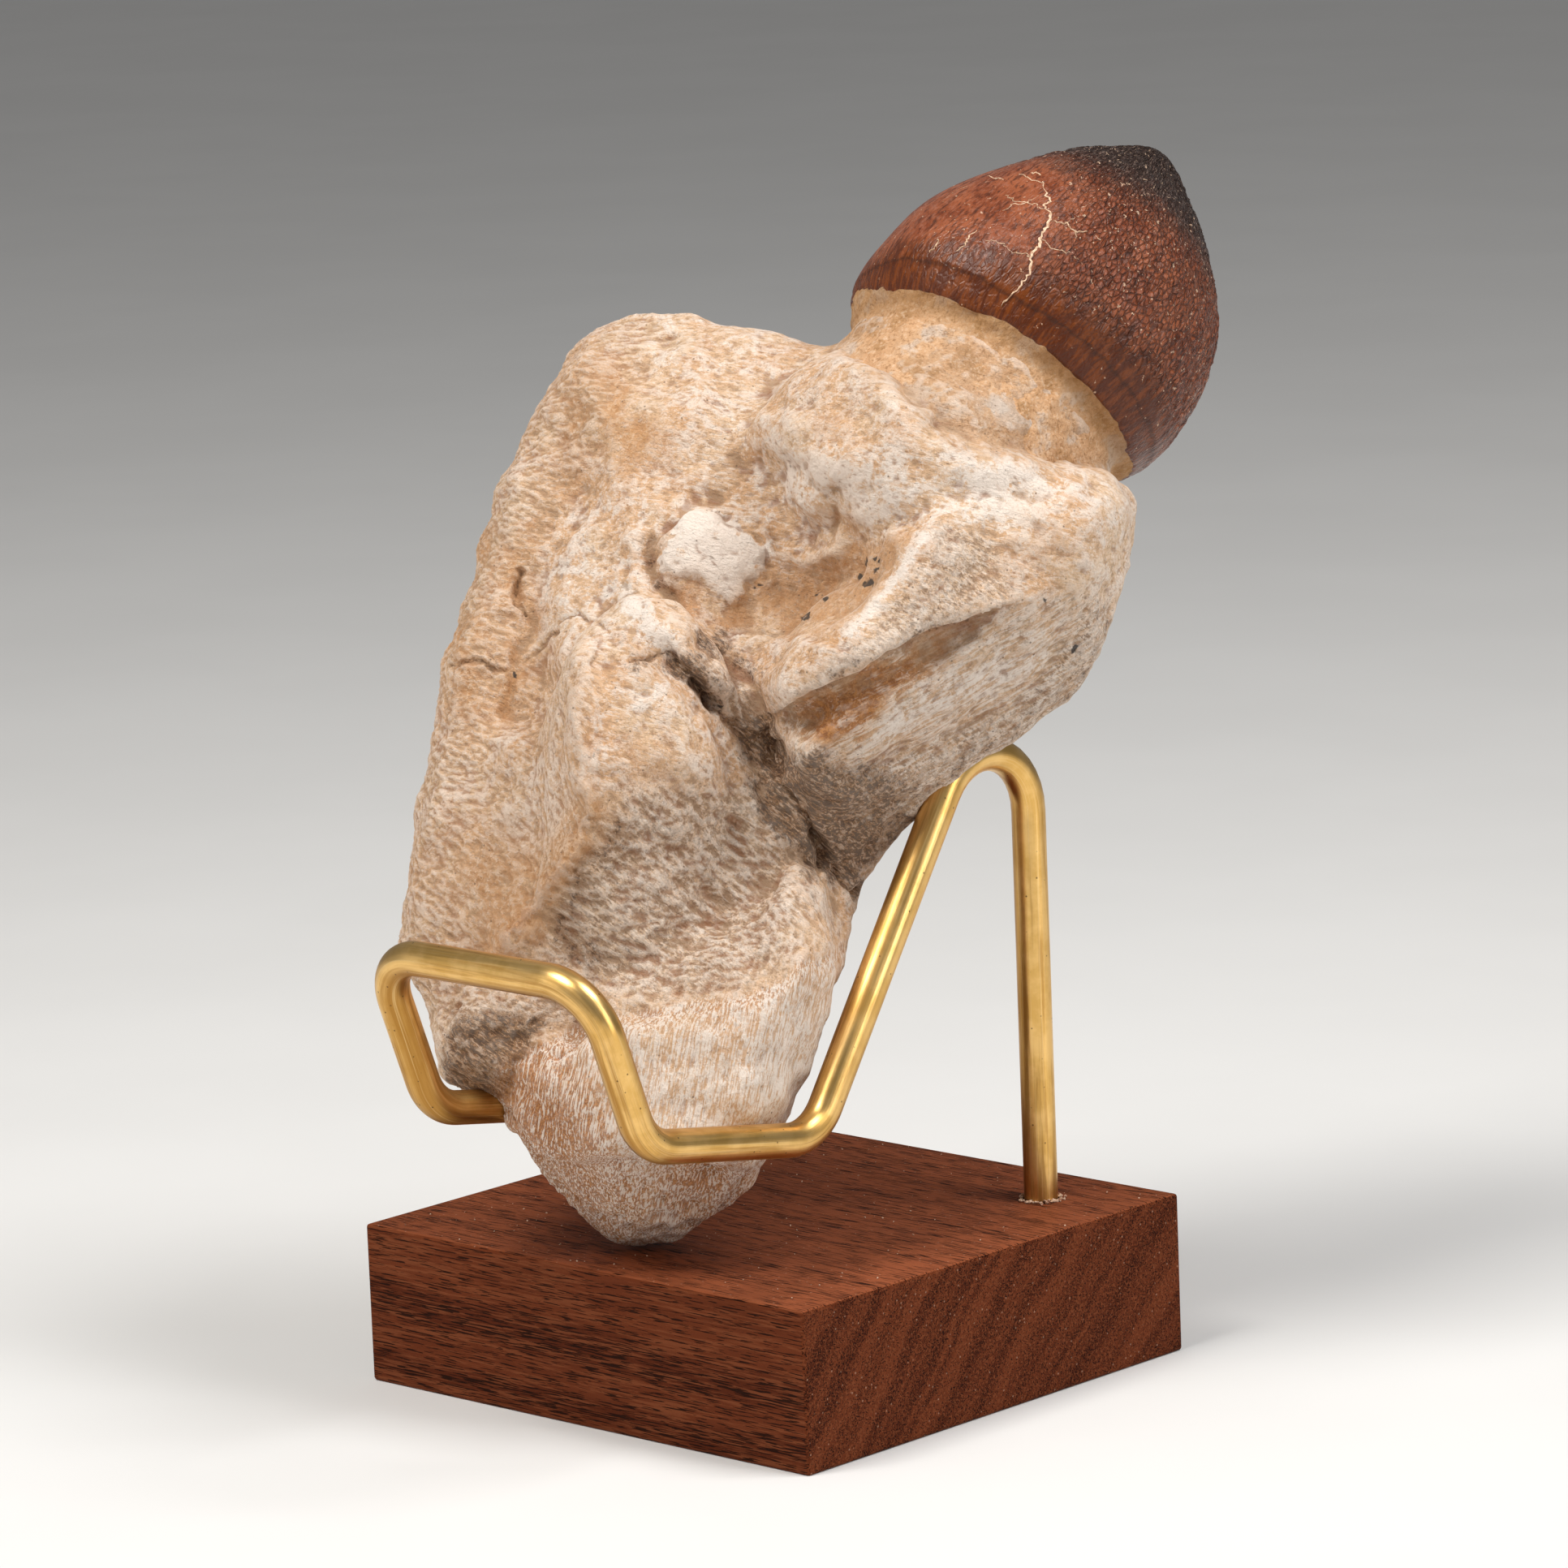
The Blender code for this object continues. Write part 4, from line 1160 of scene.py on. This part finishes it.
def make_crumbs(dust):
    """Bits of glue and dust round the foot of the post, and pale specks all over the block's top."""
    rng = np.random.default_rng(CRUMB_SEED)
    bm = bmesh.new()
    for angle in np.arange(GLUE_CRUMBS) / GLUE_CRUMBS * math.tau:
        size = rng.uniform(0.12, 0.30)
        reach = ROD_DIAMETER / 2 + 0.25 + abs(rng.normal(0.0, 0.22))
        angle += rng.normal(0.0, 0.05)
        x = POST_X + reach * math.cos(angle)
        y = POST_Y + reach * math.sin(angle)
        add_grain(bm, rng, Vector((x, y, BASE_HEIGHT + 0.6 * size)), size)
    for _ in range(DUST_SPECKS):
        size = rng.uniform(0.05, 0.13)
        x = rng.uniform(-0.49, 0.49) * BASE_WIDTH
        y = rng.uniform(-0.49, 0.49) * BASE_DEPTH
        add_grain(bm, rng, Vector((x, y, BASE_HEIGHT + 0.5 * size)), size)
    crumbs = add_object("dust_and_crumbs", mesh_from_bmesh("dust_and_crumbs", bm), [dust])
    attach(crumbs, "root")
    return crumbs


# Materials

CREAM = (0.74, 0.515, 0.335)
PEACH = (0.69, 0.41, 0.225)
WHITE = (0.86, 0.745, 0.65)
RUST = (0.52, 0.235, 0.075)
DEEP_RUST = (0.27, 0.10, 0.03)
TAN = (0.36, 0.22, 0.125)
GREY = (0.42, 0.315, 0.24)
SOIL = (0.075, 0.045, 0.027)
SAND = (0.58, 0.33, 0.17)


class Level:
    """A number, a colour or a place that varies over a surface: one output of a material's nodes."""

    def __init__(self, finish, socket):
        self.finish = finish
        self.socket = socket

    def maths(self, operation, other=0.0):
        return self.finish.level("Math", 0, {0: self, 1: other}, operation=operation)

    def __add__(self, other):
        return self.maths("ADD", other)

    def __sub__(self, other):
        return self.maths("SUBTRACT", other)

    def __mul__(self, other):
        return self.maths("MULTIPLY", other)

    def ramp(self, low, high, end=1.0, start=0.0):
        """A smooth change from start, where this is low, to end, where it is high."""
        inputs = {"Value": self, "From Min": low, "From Max": high, "To Min": start, "To Max": end}
        return self.finish.level("MapRange", "Result", inputs, interpolation_type="SMOOTHSTEP")

    def mix(self, first, second):
        """The first colour where this is 0, and the second where it is 1."""
        return self.finish.level("Mix", 2, {0: self, 6: first, 7: second}, data_type="RGBA")


class Finish:
    """A material, with short ways to build its nodes."""

    def __init__(self, name, roughness, metallic=0.0):
        self.material = bpy.data.materials.new(name)
        self.material.use_nodes = True
        self.nodes = self.material.node_tree.nodes
        self.links = self.material.node_tree.links
        self.shader = self.nodes["Principled BSDF"]
        self.shader.inputs["Roughness"].default_value = roughness
        self.shader.inputs["Metallic"].default_value = metallic
        self.place = self.level("TexCoord", "Object")

    def put(self, value, socket):
        """A number, a colour or a level goes on a socket."""
        if isinstance(value, Level):
            self.links.new(value.socket, socket)
        elif socket.type == "RGBA":
            socket.default_value = (*value, 1.0)
        else:
            socket.default_value = value

    def node(self, kind, inputs, settings):
        node = self.nodes.new("ShaderNode" + kind)
        for name, value in settings.items():
            setattr(node, name, value)
        for name, value in inputs.items():
            self.put(value, node.inputs[name])
        return node

    def level(self, kind, output, inputs=None, **settings):
        """One output of a new node, with values or levels on its inputs."""
        return Level(self, self.node(kind, inputs or {}, settings).outputs[output])

    def field(self, name, output="Fac"):
        return self.level("Attribute", output, attribute_name=name)

    def cells(self, size, angle=None, flow=None):
        """Places measured in cells of so many millimetres, along the fibres or along a flow."""
        unit = 1.0 if flow else MM
        sides = [size] * 3 if np.isscalar(size) else size
        inputs = {"Scale": [side * unit for side in sides], "Vector": flow or self.place}
        if angle is not None:
            inputs["Rotation"] = fibre_turn(angle).to_euler()
        return self.level("Mapping", "Vector", inputs, vector_type="TEXTURE")

    def noise(self, size, detail, roughness, distortion=0.0, angle=None, flow=None):
        inputs = {"Scale": 1.0, "Detail": detail, "Roughness": roughness, "Distortion": distortion}
        return self.level("TexNoise", "Fac", {"Vector": self.cells(size, angle, flow), **inputs})

    def dots(self, size, rarity, rim, core, share, angle=None):
        """Small spots in some of the cells, fewer where the rarity is higher."""
        node = self.node("TexVoronoi", {"Vector": self.cells(size, angle), "Scale": 1.0}, {})
        chance = Level(self, node.outputs["Color"]).ramp(rarity, rarity + 0.04)
        return chance * Level(self, node.outputs["Distance"]).ramp(rim, core, share)

    def towards(self, flow, direction):
        """How much the flow's places lie towards a direction."""
        return self.level("VectorMath", "Value", {0: flow, 1: direction}, operation="DOT_PRODUCT")

    def bump(self, height, depth, strength):
        """Small relief, so many millimetres deep, on top of any already there."""
        node = self.node("Bump", {"Distance": depth * MM, "Strength": strength, "Height": height}, {})
        socket = self.shader.inputs["Normal"]
        if socket.is_linked:
            self.links.new(socket.links[0].from_socket, node.inputs["Normal"])
        self.links.new(node.outputs["Normal"], socket)

    def colour(self, value):
        """The surface's colour, under any coats that follow."""
        self.base = value
        self.put(value, self.shader.inputs["Base Color"])

    def coat(self, share, colour):
        """A coat over the colour so far, as dense as its share."""
        self.colour(share.mix(self.base, colour))

    def gloss(self, value):
        self.put(value, self.shader.inputs["Roughness"])

    def shine(self, value):
        self.shader.inputs["Specular IOR Level"].default_value = value


def fibre_turn(angle):
    """Rotation whose first axis runs along fibres at an angle in the broad face."""
    along = Vector(np.array([math.cos(math.radians(angle)), math.sin(math.radians(angle)), 0.0]) @ FACE)
    out = Vector(FACE[2])
    return Matrix((along, out.cross(along), out)).transposed()


def bone_grain(finish):
    """Streaks along the fibres of each area of the jaw."""
    level = finish.noise((1.9, 0.42, 0.42), 4.0, 0.65, 0.3, -14)
    for name, angle, length in (("plate", -36, 1.5), ("knuckle", 27, 2.4), ("lobe", 78, 3.2)):
        level = finish.field(name).mix(level, finish.noise((length, 0.34, 0.34), 4.0, 0.65, 0.3, angle))
    return level


def sandy_colour(finish):
    """Tan, sandy bone at the root of the tooth, with the colours of its fine crumbs."""
    clouds = finish.noise(5.0, 4.0, 0.6)
    crumbs = finish.noise(0.5, 5.0, 0.7)
    colour = clouds.ramp(0.40, 0.60).mix(SAND, (0.58, 0.355, 0.20))
    colour = clouds.ramp(0.54, 0.62, 0.6).mix(colour, (0.56, 0.47, 0.40))
    colour = clouds.ramp(0.45, 0.36, 0.6).mix(colour, (0.36, 0.19, 0.075))
    colour = crumbs.ramp(0.53, 0.63, 0.45).mix(colour, (0.74, 0.57, 0.42))
    return crumbs.ramp(0.47, 0.37, 0.6).mix(colour, (0.24, 0.115, 0.04))


def add_threads(finish, name, angle, size, share):
    """Fine rusty and bare threads along the fibres, over one named area of the bone."""
    threads = finish.noise(size, 4.0, 0.65, 0.2, angle)
    grit = finish.noise(0.24, 3.0, 0.6)
    rust, area = finish.field("rust"), finish.field(name)
    finish.coat(threads.ramp(0.50, 0.43, share) * area, WHITE)
    stains = (threads + rust * 0.11).ramp(0.545, 0.58, share) * area
    rusty = grit.ramp(0.45, 0.58).mix((0.30, 0.095, 0.018), (0.56, 0.22, 0.055))
    finish.coat(stains, rust.ramp(0.1, 0.5).mix((0.64, 0.39, 0.22), rusty))


def bone_material():
    finish = Finish("fossil_bone", 0.8)
    broad = finish.noise(11, 3.0, 0.55)
    patches = finish.noise(3.2, 6.0, 0.66, 0.5)
    clouds = finish.noise(6.5, 6.0, 0.68, 0.3)
    mottle = finish.noise(0.65, 5.0, 0.72)
    grit = finish.noise(0.24, 3.0, 0.6)
    scuffs = finish.noise((1.7, 0.42, 0.42), 5.0, 0.7, 0.4, -38)
    grain = bone_grain(finish)
    names = ("rust", "pale", "dull_and_shade", "soil_and_shade", "sandy", "lobe", "crests", "pits", "hollows", "ink")
    rust, pale, dull_and_shade, soil_and_shade, sandy, lobe, crests, pits, hollows, ink = map(finish.field, names)

    # Cream and peach bone, with bleached patches and tan streaks
    finish.colour(broad.ramp(0.38, 0.62).mix(CREAM, PEACH))
    finish.coat(patches.ramp(0.485, 0.56, 0.7), WHITE)
    finish.coat(clouds.ramp(0.53, 0.62, 0.38), RUST)
    calm = pale.ramp(0.0, 1.0, 0.35, 1.0)
    streaked = patches.ramp(0.44, 0.56).mix((0.45, 0.27, 0.14), RUST)
    finish.coat(grain.ramp(0.52, 0.61, 0.5) * calm, streaked)
    finish.coat(grain.ramp(0.47, 0.39, 0.55), WHITE)
    dashes = finish.dots((1.25, 0.62, 0.62), 0.50, 0.24, 0.10, 0.75, -14) * calm
    finish.coat(dashes, mottle.ramp(0.45, 0.55).mix(TAN, RUST))
    # Grey over the dull faces: partly duller bone, partly painted shade in the hollow face and under the
    # knuckle
    finish.coat(dull_and_shade * 0.8, mottle.ramp(0.44, 0.56).mix(GREY, CREAM))

    # Stains, bleached bone, and scuffs on the dull faces, which include the faces painted grey as shade
    blend = patches * 0.5 + mottle * 0.5
    stained = (blend + rust * 0.22).ramp(0.57, 0.68, 0.92) * lobe.ramp(0.0, 1.0, 0.4, 1.0)
    finish.coat(stained, mottle.ramp(0.50, 0.60).mix(RUST, DEEP_RUST))
    deepest = rust + (patches - 0.5) * 1.6
    finish.coat(deepest.ramp(0.80, 1.05, 0.75), (0.30, 0.115, 0.03))
    finish.coat((blend + pale * 0.24).ramp(0.58, 0.68, 0.92), WHITE)
    add_threads(finish, "knuckle", 27, (4.0, 0.45, 0.45), 0.75)
    dull_and_shaded = dull_and_shade.ramp(0.35, 0.8)
    scuffed = scuffs.ramp(0.515, 0.58, 0.85) * dull_and_shaded * patches.ramp(0.44, 0.56, 0.35, 1.0)
    finish.coat(scuffed, grit.ramp(0.42, 0.58).mix((0.19, 0.115, 0.065), (0.34, 0.20, 0.12)))
    finish.coat(scuffs.ramp(0.485, 0.42, 0.55) * dull_and_shaded, WHITE)

    # Sandy skin round the root, ashen and ochre in places
    finish.coat(sandy, sandy_colour(finish))
    spotted = patches.ramp(0.40, 0.52)
    finish.coat(sandy * dull_and_shade * spotted, (0.62, 0.54, 0.47))
    finish.coat(sandy * rust * spotted, (0.30, 0.155, 0.055))

    # Brown in the pits and creases, white on the crests
    fine = mottle * 0.6 + grit * 0.4
    # Tan specks gather more where the dull and soil fields lie, painted shade among them
    wear_and_shade = dull_and_shade + soil_and_shade - pale
    bony = sandy.ramp(0.0, 1.0, 0.15, 1.0)
    brown = patches.ramp(0.42, 0.58).mix(TAN, DEEP_RUST)
    finish.coat(fine.ramp(0.475, 0.40) * wear_and_shade.ramp(-0.7, 0.7, 0.75, 0.12) * bony, TAN)
    finish.coat(fine.ramp(0.53, 0.61, 0.45) * bony, WHITE)
    finish.coat(pits * 0.36 * bony, brown)
    finish.coat(crests.ramp(0.1, 0.9, 0.35), WHITE)
    finish.coat(crests.ramp(-0.15, -0.9, 0.5) * bony, brown)
    finish.coat(hollows.ramp(0.2, 1.0, 0.6), brown)
    add_threads(finish, "lobe", 80, (2.8, 0.24, 0.24), 0.78)

    # Rust, soil with painted shadow, and black growths that lie over the rest
    glaze = rust * patches.ramp(0.42, 0.58, 0.92, 0.35) * lobe.ramp(0.0, 1.0, 0.1, 1.0)
    mottled = mottle.ramp(0.44, 0.56)
    light = mottled.mix((0.56, 0.29, 0.12), (0.74, 0.46, 0.25))
    deep = mottled.mix((0.30, 0.105, 0.022), (0.55, 0.24, 0.07))
    finish.coat(glaze, rust.ramp(0.70, 0.98).mix(light, deep))
    # Dark soil colour, also painted as shadow along the crease, under the knuckle and in the hollow face
    soiled_and_shaded = soil_and_shade + (mottle * 1.6 + patches * 2.4 - 2.0)
    soil_and_shadow_colour = scuffs.ramp(0.45, 0.53).mix((0.075, 0.034, 0.014), (0.33, 0.175, 0.08))
    soil_and_shadow_colour = grit.ramp(0.50, 0.42, 0.7).mix(soil_and_shadow_colour, SOIL)
    soil_and_shadow_colour = scuffs.ramp(0.54, 0.60, 0.65).mix(soil_and_shadow_colour, (0.64, 0.50, 0.39))
    soil_and_shadow_colour = rust.ramp(0.2, 0.9, 0.85).mix(soil_and_shadow_colour, deep)
    finish.coat(soiled_and_shaded.ramp(0.38, 0.90, 0.85), soil_and_shadow_colour)
    finish.coat(finish.dots(1.15, 0.62, 0.14, 0.06, 0.75), (0.16, 0.095, 0.055))
    finish.coat(ink.ramp(0.35, 0.6, 0.9), (0.03, 0.026, 0.024))
    finish.gloss(mottle.ramp(0.3, 0.7, 0.9, 0.66))
    finish.bump(grain, 0.34, 0.9)
    finish.bump(mottle, 0.38, 0.9)
    finish.bump(grit, 0.11, 0.8)
    return finish.material


def enamel_material():
    finish = Finish("tooth_enamel", 0.4)
    flow = finish.field("flow", "Vector")
    height, pebbles = finish.field("height"), finish.field("pebbles")
    sand = finish.noise(0.75, 5.0, 0.7)
    clouds = finish.noise(4.5, 4.0, 0.6)
    streaks = finish.noise((0.040, 0.040, 3.2), 5.0, 0.65, 0.3, flow=flow)
    hairs = finish.noise((0.020, 0.020, 0.9), 4.0, 0.65, flow=flow)
    inputs = {"Vector": finish.cells((0.030, 0.030, 1.0), flow=flow), "Scale": 1.0}
    crazing = finish.level("TexVoronoi", "Distance", inputs, feature="DISTANCE_TO_EDGE")

    # Chestnut with dark and light hairs, amber near the margin and sooty at the tip
    finish.colour(clouds.ramp(0.38, 0.62).mix((0.180, 0.040, 0.012), (0.290, 0.082, 0.032)))
    finish.coat(streaks.ramp(0.51, 0.62, 0.6), (0.040, 0.011, 0.006))
    finish.coat(hairs.ramp(0.52, 0.62, 0.55), (0.30, 0.115, 0.070))
    finish.coat(hairs.ramp(0.47, 0.37, 0.65), (0.035, 0.010, 0.006))
    low = height + (streaks - 0.5) * -10.0 - finish.towards(flow, (0.87, -0.50, 0.0)) * 3.0
    amber = streaks.ramp(0.42, 0.56).mix((0.165, 0.040, 0.007), (0.085, 0.019, 0.005))
    finish.coat(low.ramp(4.5, 0.0), amber)
    line = (height + (clouds - 0.5) * 2.4 - 1.0).maths("ABSOLUTE")
    finish.coat(line.ramp(0.30, 0.05, 0.45), (0.030, 0.009, 0.004))
    tip = height + (clouds - 0.5) * 9.0
    soot = hairs.ramp(0.50, 0.62).mix((0.022, 0.014, 0.011), (0.15, 0.105, 0.085))
    finish.coat(tip.ramp(17.0, 26.0, 0.95), soot)
    creviced = crazing.ramp(0.16, 0.02) * pebbles * 0.55
    finish.coat(creviced, (0.026, 0.010, 0.007))
    crowded = pebbles.ramp(0.0, 1.0, 0.66, 0.705)
    flecks = finish.noise(0.62, 2.0, 0.6).ramp(crowded, crowded + 0.025, 0.85)
    finish.coat(flecks, (0.60, 0.41, 0.28))

    crown = finish.field("crown").ramp(0.45, 0.60)
    root = height.ramp(-5.5, -2.4, 0.6).mix(sandy_colour(finish), (0.36, 0.19, 0.07))
    finish.colour(crown.mix(root, finish.base))
    finish.shine(0.28)
    finish.gloss(crown.mix((0.85, 0.85, 0.85), hairs.ramp(0.4, 0.6, 0.24, 0.42)))
    finish.bump(hairs * pebbles.ramp(0.0, 1.0, 1.0, 0.3), 0.26, 0.9)
    finish.bump(crazing.ramp(0.0, 0.22) * pebbles.ramp(0.2, 1.0, 1.0, 0.15), 0.24, 0.9)
    finish.bump(sand * crown.ramp(0.0, 1.0, 0.05, 1.0), 0.34, 0.9)
    return finish.material


def filling_material():
    finish = Finish("crack_filling", 0.8)
    crumbs = finish.noise(0.4, 3.0, 0.6)
    finish.colour(crumbs.ramp(0.35, 0.62).mix((0.46, 0.27, 0.16), (0.78, 0.56, 0.38)))
    finish.bump(crumbs, 0.06, 0.8)
    return finish.material


def dust_material():
    finish = Finish("pale_dust", 0.9)
    finish.colour(finish.noise(0.5, 3.0, 0.6).ramp(0.38, 0.60).mix((0.30, 0.13, 0.07), (0.70, 0.50, 0.36)))
    return finish.material


def brass_material():
    finish = Finish("satin_brass", 0.3, metallic=1.0)
    flow = finish.field("flow", "Vector")
    drawn = finish.noise((0.10, 0.10, 30.0), 3.0, 0.6, flow=flow)
    grime = finish.noise((0.55, 0.55, 22.0), 5.0, 0.6, flow=flow)
    clouds = finish.noise(5.0, 4.0, 0.6)
    finish.colour(clouds.ramp(0.38, 0.62).mix((0.86, 0.55, 0.20), (0.72, 0.43, 0.125)))
    finish.coat(grime.ramp(0.50, 0.66, 0.6), (0.36, 0.17, 0.035))
    # Painted shade: one side of the rod is painted darker, like a dark reflection, broken into patches by the
    # grime
    side_shade_and_grime = finish.towards(flow, (-0.73, -0.69, 0.0)) + grime * 1.2
    finish.coat(side_shade_and_grime.ramp(1.10, 1.45, 0.75), (0.40, 0.19, 0.035))
    finish.coat(drawn.ramp(0.54, 0.66, 0.35), (0.90, 0.66, 0.32))
    finish.coat(finish.dots(0.9, 0.68, 0.16, 0.08, 0.8), (0.09, 0.045, 0.02))
    finish.gloss(grime.ramp(0.40, 0.64, 0.44, 0.28))
    finish.bump(drawn, 0.03, 0.7)
    return finish.material


def walnut_material():
    finish = Finish("walnut", 0.55)
    # Growth rings about a pith that runs along the block, behind it and below
    inputs = {"Location": (0.0, -0.150, 0.130), "Scale": (0.0, 1.0, 1.0), "Vector": finish.place}
    across = finish.level("Mapping", "Vector", inputs, vector_type="POINT")
    reach = finish.level("VectorMath", "Value", {0: across}, operation="LENGTH")
    rings = reach + finish.noise((45, 9, 9), 2.0, 0.5) * 0.004
    inputs = {"Scale": 300.0, "Detail": 3.0, "W": rings}
    bands = finish.level("TexNoise", "Fac", inputs, noise_dimensions="1D")
    pores = finish.noise((3.4, 0.17, 0.17), 2.0, 0.5)
    threads = finish.noise((9.0, 0.40, 0.40), 5.0, 0.7)
    grit = finish.noise(0.30, 3.0, 0.6)
    upward = finish.level("SeparateXYZ", "Z", {"Vector": finish.level("NewGeometry", "True Normal")})

    finish.colour(bands.ramp(0.38, 0.64).mix((0.130, 0.030, 0.0100), (0.082, 0.017, 0.0055)))
    finish.coat(threads.ramp(0.46, 0.60, 0.6), (0.210, 0.063, 0.0255))
    # Painted light: the block's upward faces are painted a lighter brown
    finish.coat(upward.ramp(0.5, 0.95, 0.55), (0.32, 0.092, 0.038))
    dense = bands.ramp(0.3, 0.7, 0.53, 0.60)
    pore = pores.ramp(dense, dense + 0.035, 0.92)
    finish.coat(pore, (0.014, 0.004, 0.002))
    finish.coat(finish.dots(0.8, 0.62, 0.20, 0.08, 0.55), (0.42, 0.24, 0.16))
    finish.shine(0.04)
    finish.gloss(threads.ramp(0.3, 0.7, 0.68, 0.50))
    finish.bump(pore * -1.0, 0.12, 0.9)
    finish.bump(threads, 0.07, 0.5)
    finish.bump(grit, 0.05, 0.6)
    return finish.material


def floor_material():
    finish = Finish("pale_floor", 0.75)
    finish.colour(finish.noise(60, 3.0, 0.5).ramp(0.3, 0.7).mix((0.74, 0.73, 0.715), (0.76, 0.75, 0.735)))
    return finish.material


# Studio

def make_floor():
    bm = bmesh.new()
    bmesh.ops.create_grid(bm, x_segments=8, y_segments=8, size=6.0)
    floor = add_object("floor", mesh_from_bmesh("floor", bm), [floor_material()])


def make_camera():
    data = bpy.data.cameras.new("camera")
    data.lens = LENS
    data.sensor_width = SENSOR
    data.sensor_fit = "HORIZONTAL"
    data.clip_start = 0.05
    data.clip_end = 30.0
    camera = add_object("camera", data)
    eye = np.array([CAMERA_ASIDE, CAMERA_RISE, CAMERA_DISTANCE]) @ FACE * MM
    turn = Matrix([Vector(axis) for axis in FACE]).transposed().to_4x4()
    camera.matrix_world = Matrix.Translation(Vector(eye)) @ turn
    bpy.context.scene.camera = camera


# Softboxes: name, direction in the broad face, distance and size in metres, watts and tint
SOFTBOXES = [
    ("key", (-0.55, 0.95, 0.60), 0.75, (0.30, 0.30), 4.8, (1.0, 0.98, 0.945)),
    ("top", (0.60, 1.0, 0.45), 0.75, (0.30, 0.30), 3.4, (1.0, 1.0, 1.0)),
    ("side", (1.0, 0.25, 0.75), 0.8, (0.16, 0.6), 1.4, (1.0, 1.0, 1.0)),
    ("fill", (-1.0, 0.1, 0.40), 0.9, (0.4, 0.6), 1.0, (1.0, 1.0, 1.0)),
]


def make_lights():
    target = Vector((0.0, 0.0, 0.07))
    for name, direction, distance, size, watts, tint in SOFTBOXES:
        data = bpy.data.lights.new(name, "AREA")
        data.shape = "RECTANGLE"
        data.size, data.size_y = size
        data.energy = watts
        data.color = tint
        light = add_object(name, data)
        away = Vector(np.array(direction) @ FACE).normalized()
        light.location = target + away * distance
        light.rotation_euler = away.to_track_quat("Z", "Y").to_euler()
    world = bpy.data.worlds.new("studio")
    world.use_nodes = True
    background = world.node_tree.nodes["Background"]
    background.inputs["Color"].default_value = (0.90, 0.90, 0.90, 1.0)
    background.inputs["Strength"].default_value = 0.24
    bpy.context.scene.world = world
    bpy.context.scene.view_settings.view_transform = "Standard"


def main():
    make_camera()
    make_lights()
    make_floor()
    make_rod(brass_material())
    make_tooth([enamel_material()])
    make_crown_cracks(filling_material())
    make_crumbs(dust_material())
    make_jaw(bone_material())
    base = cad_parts["base"]
    base.material_slots[0].material = walnut_material()


main()
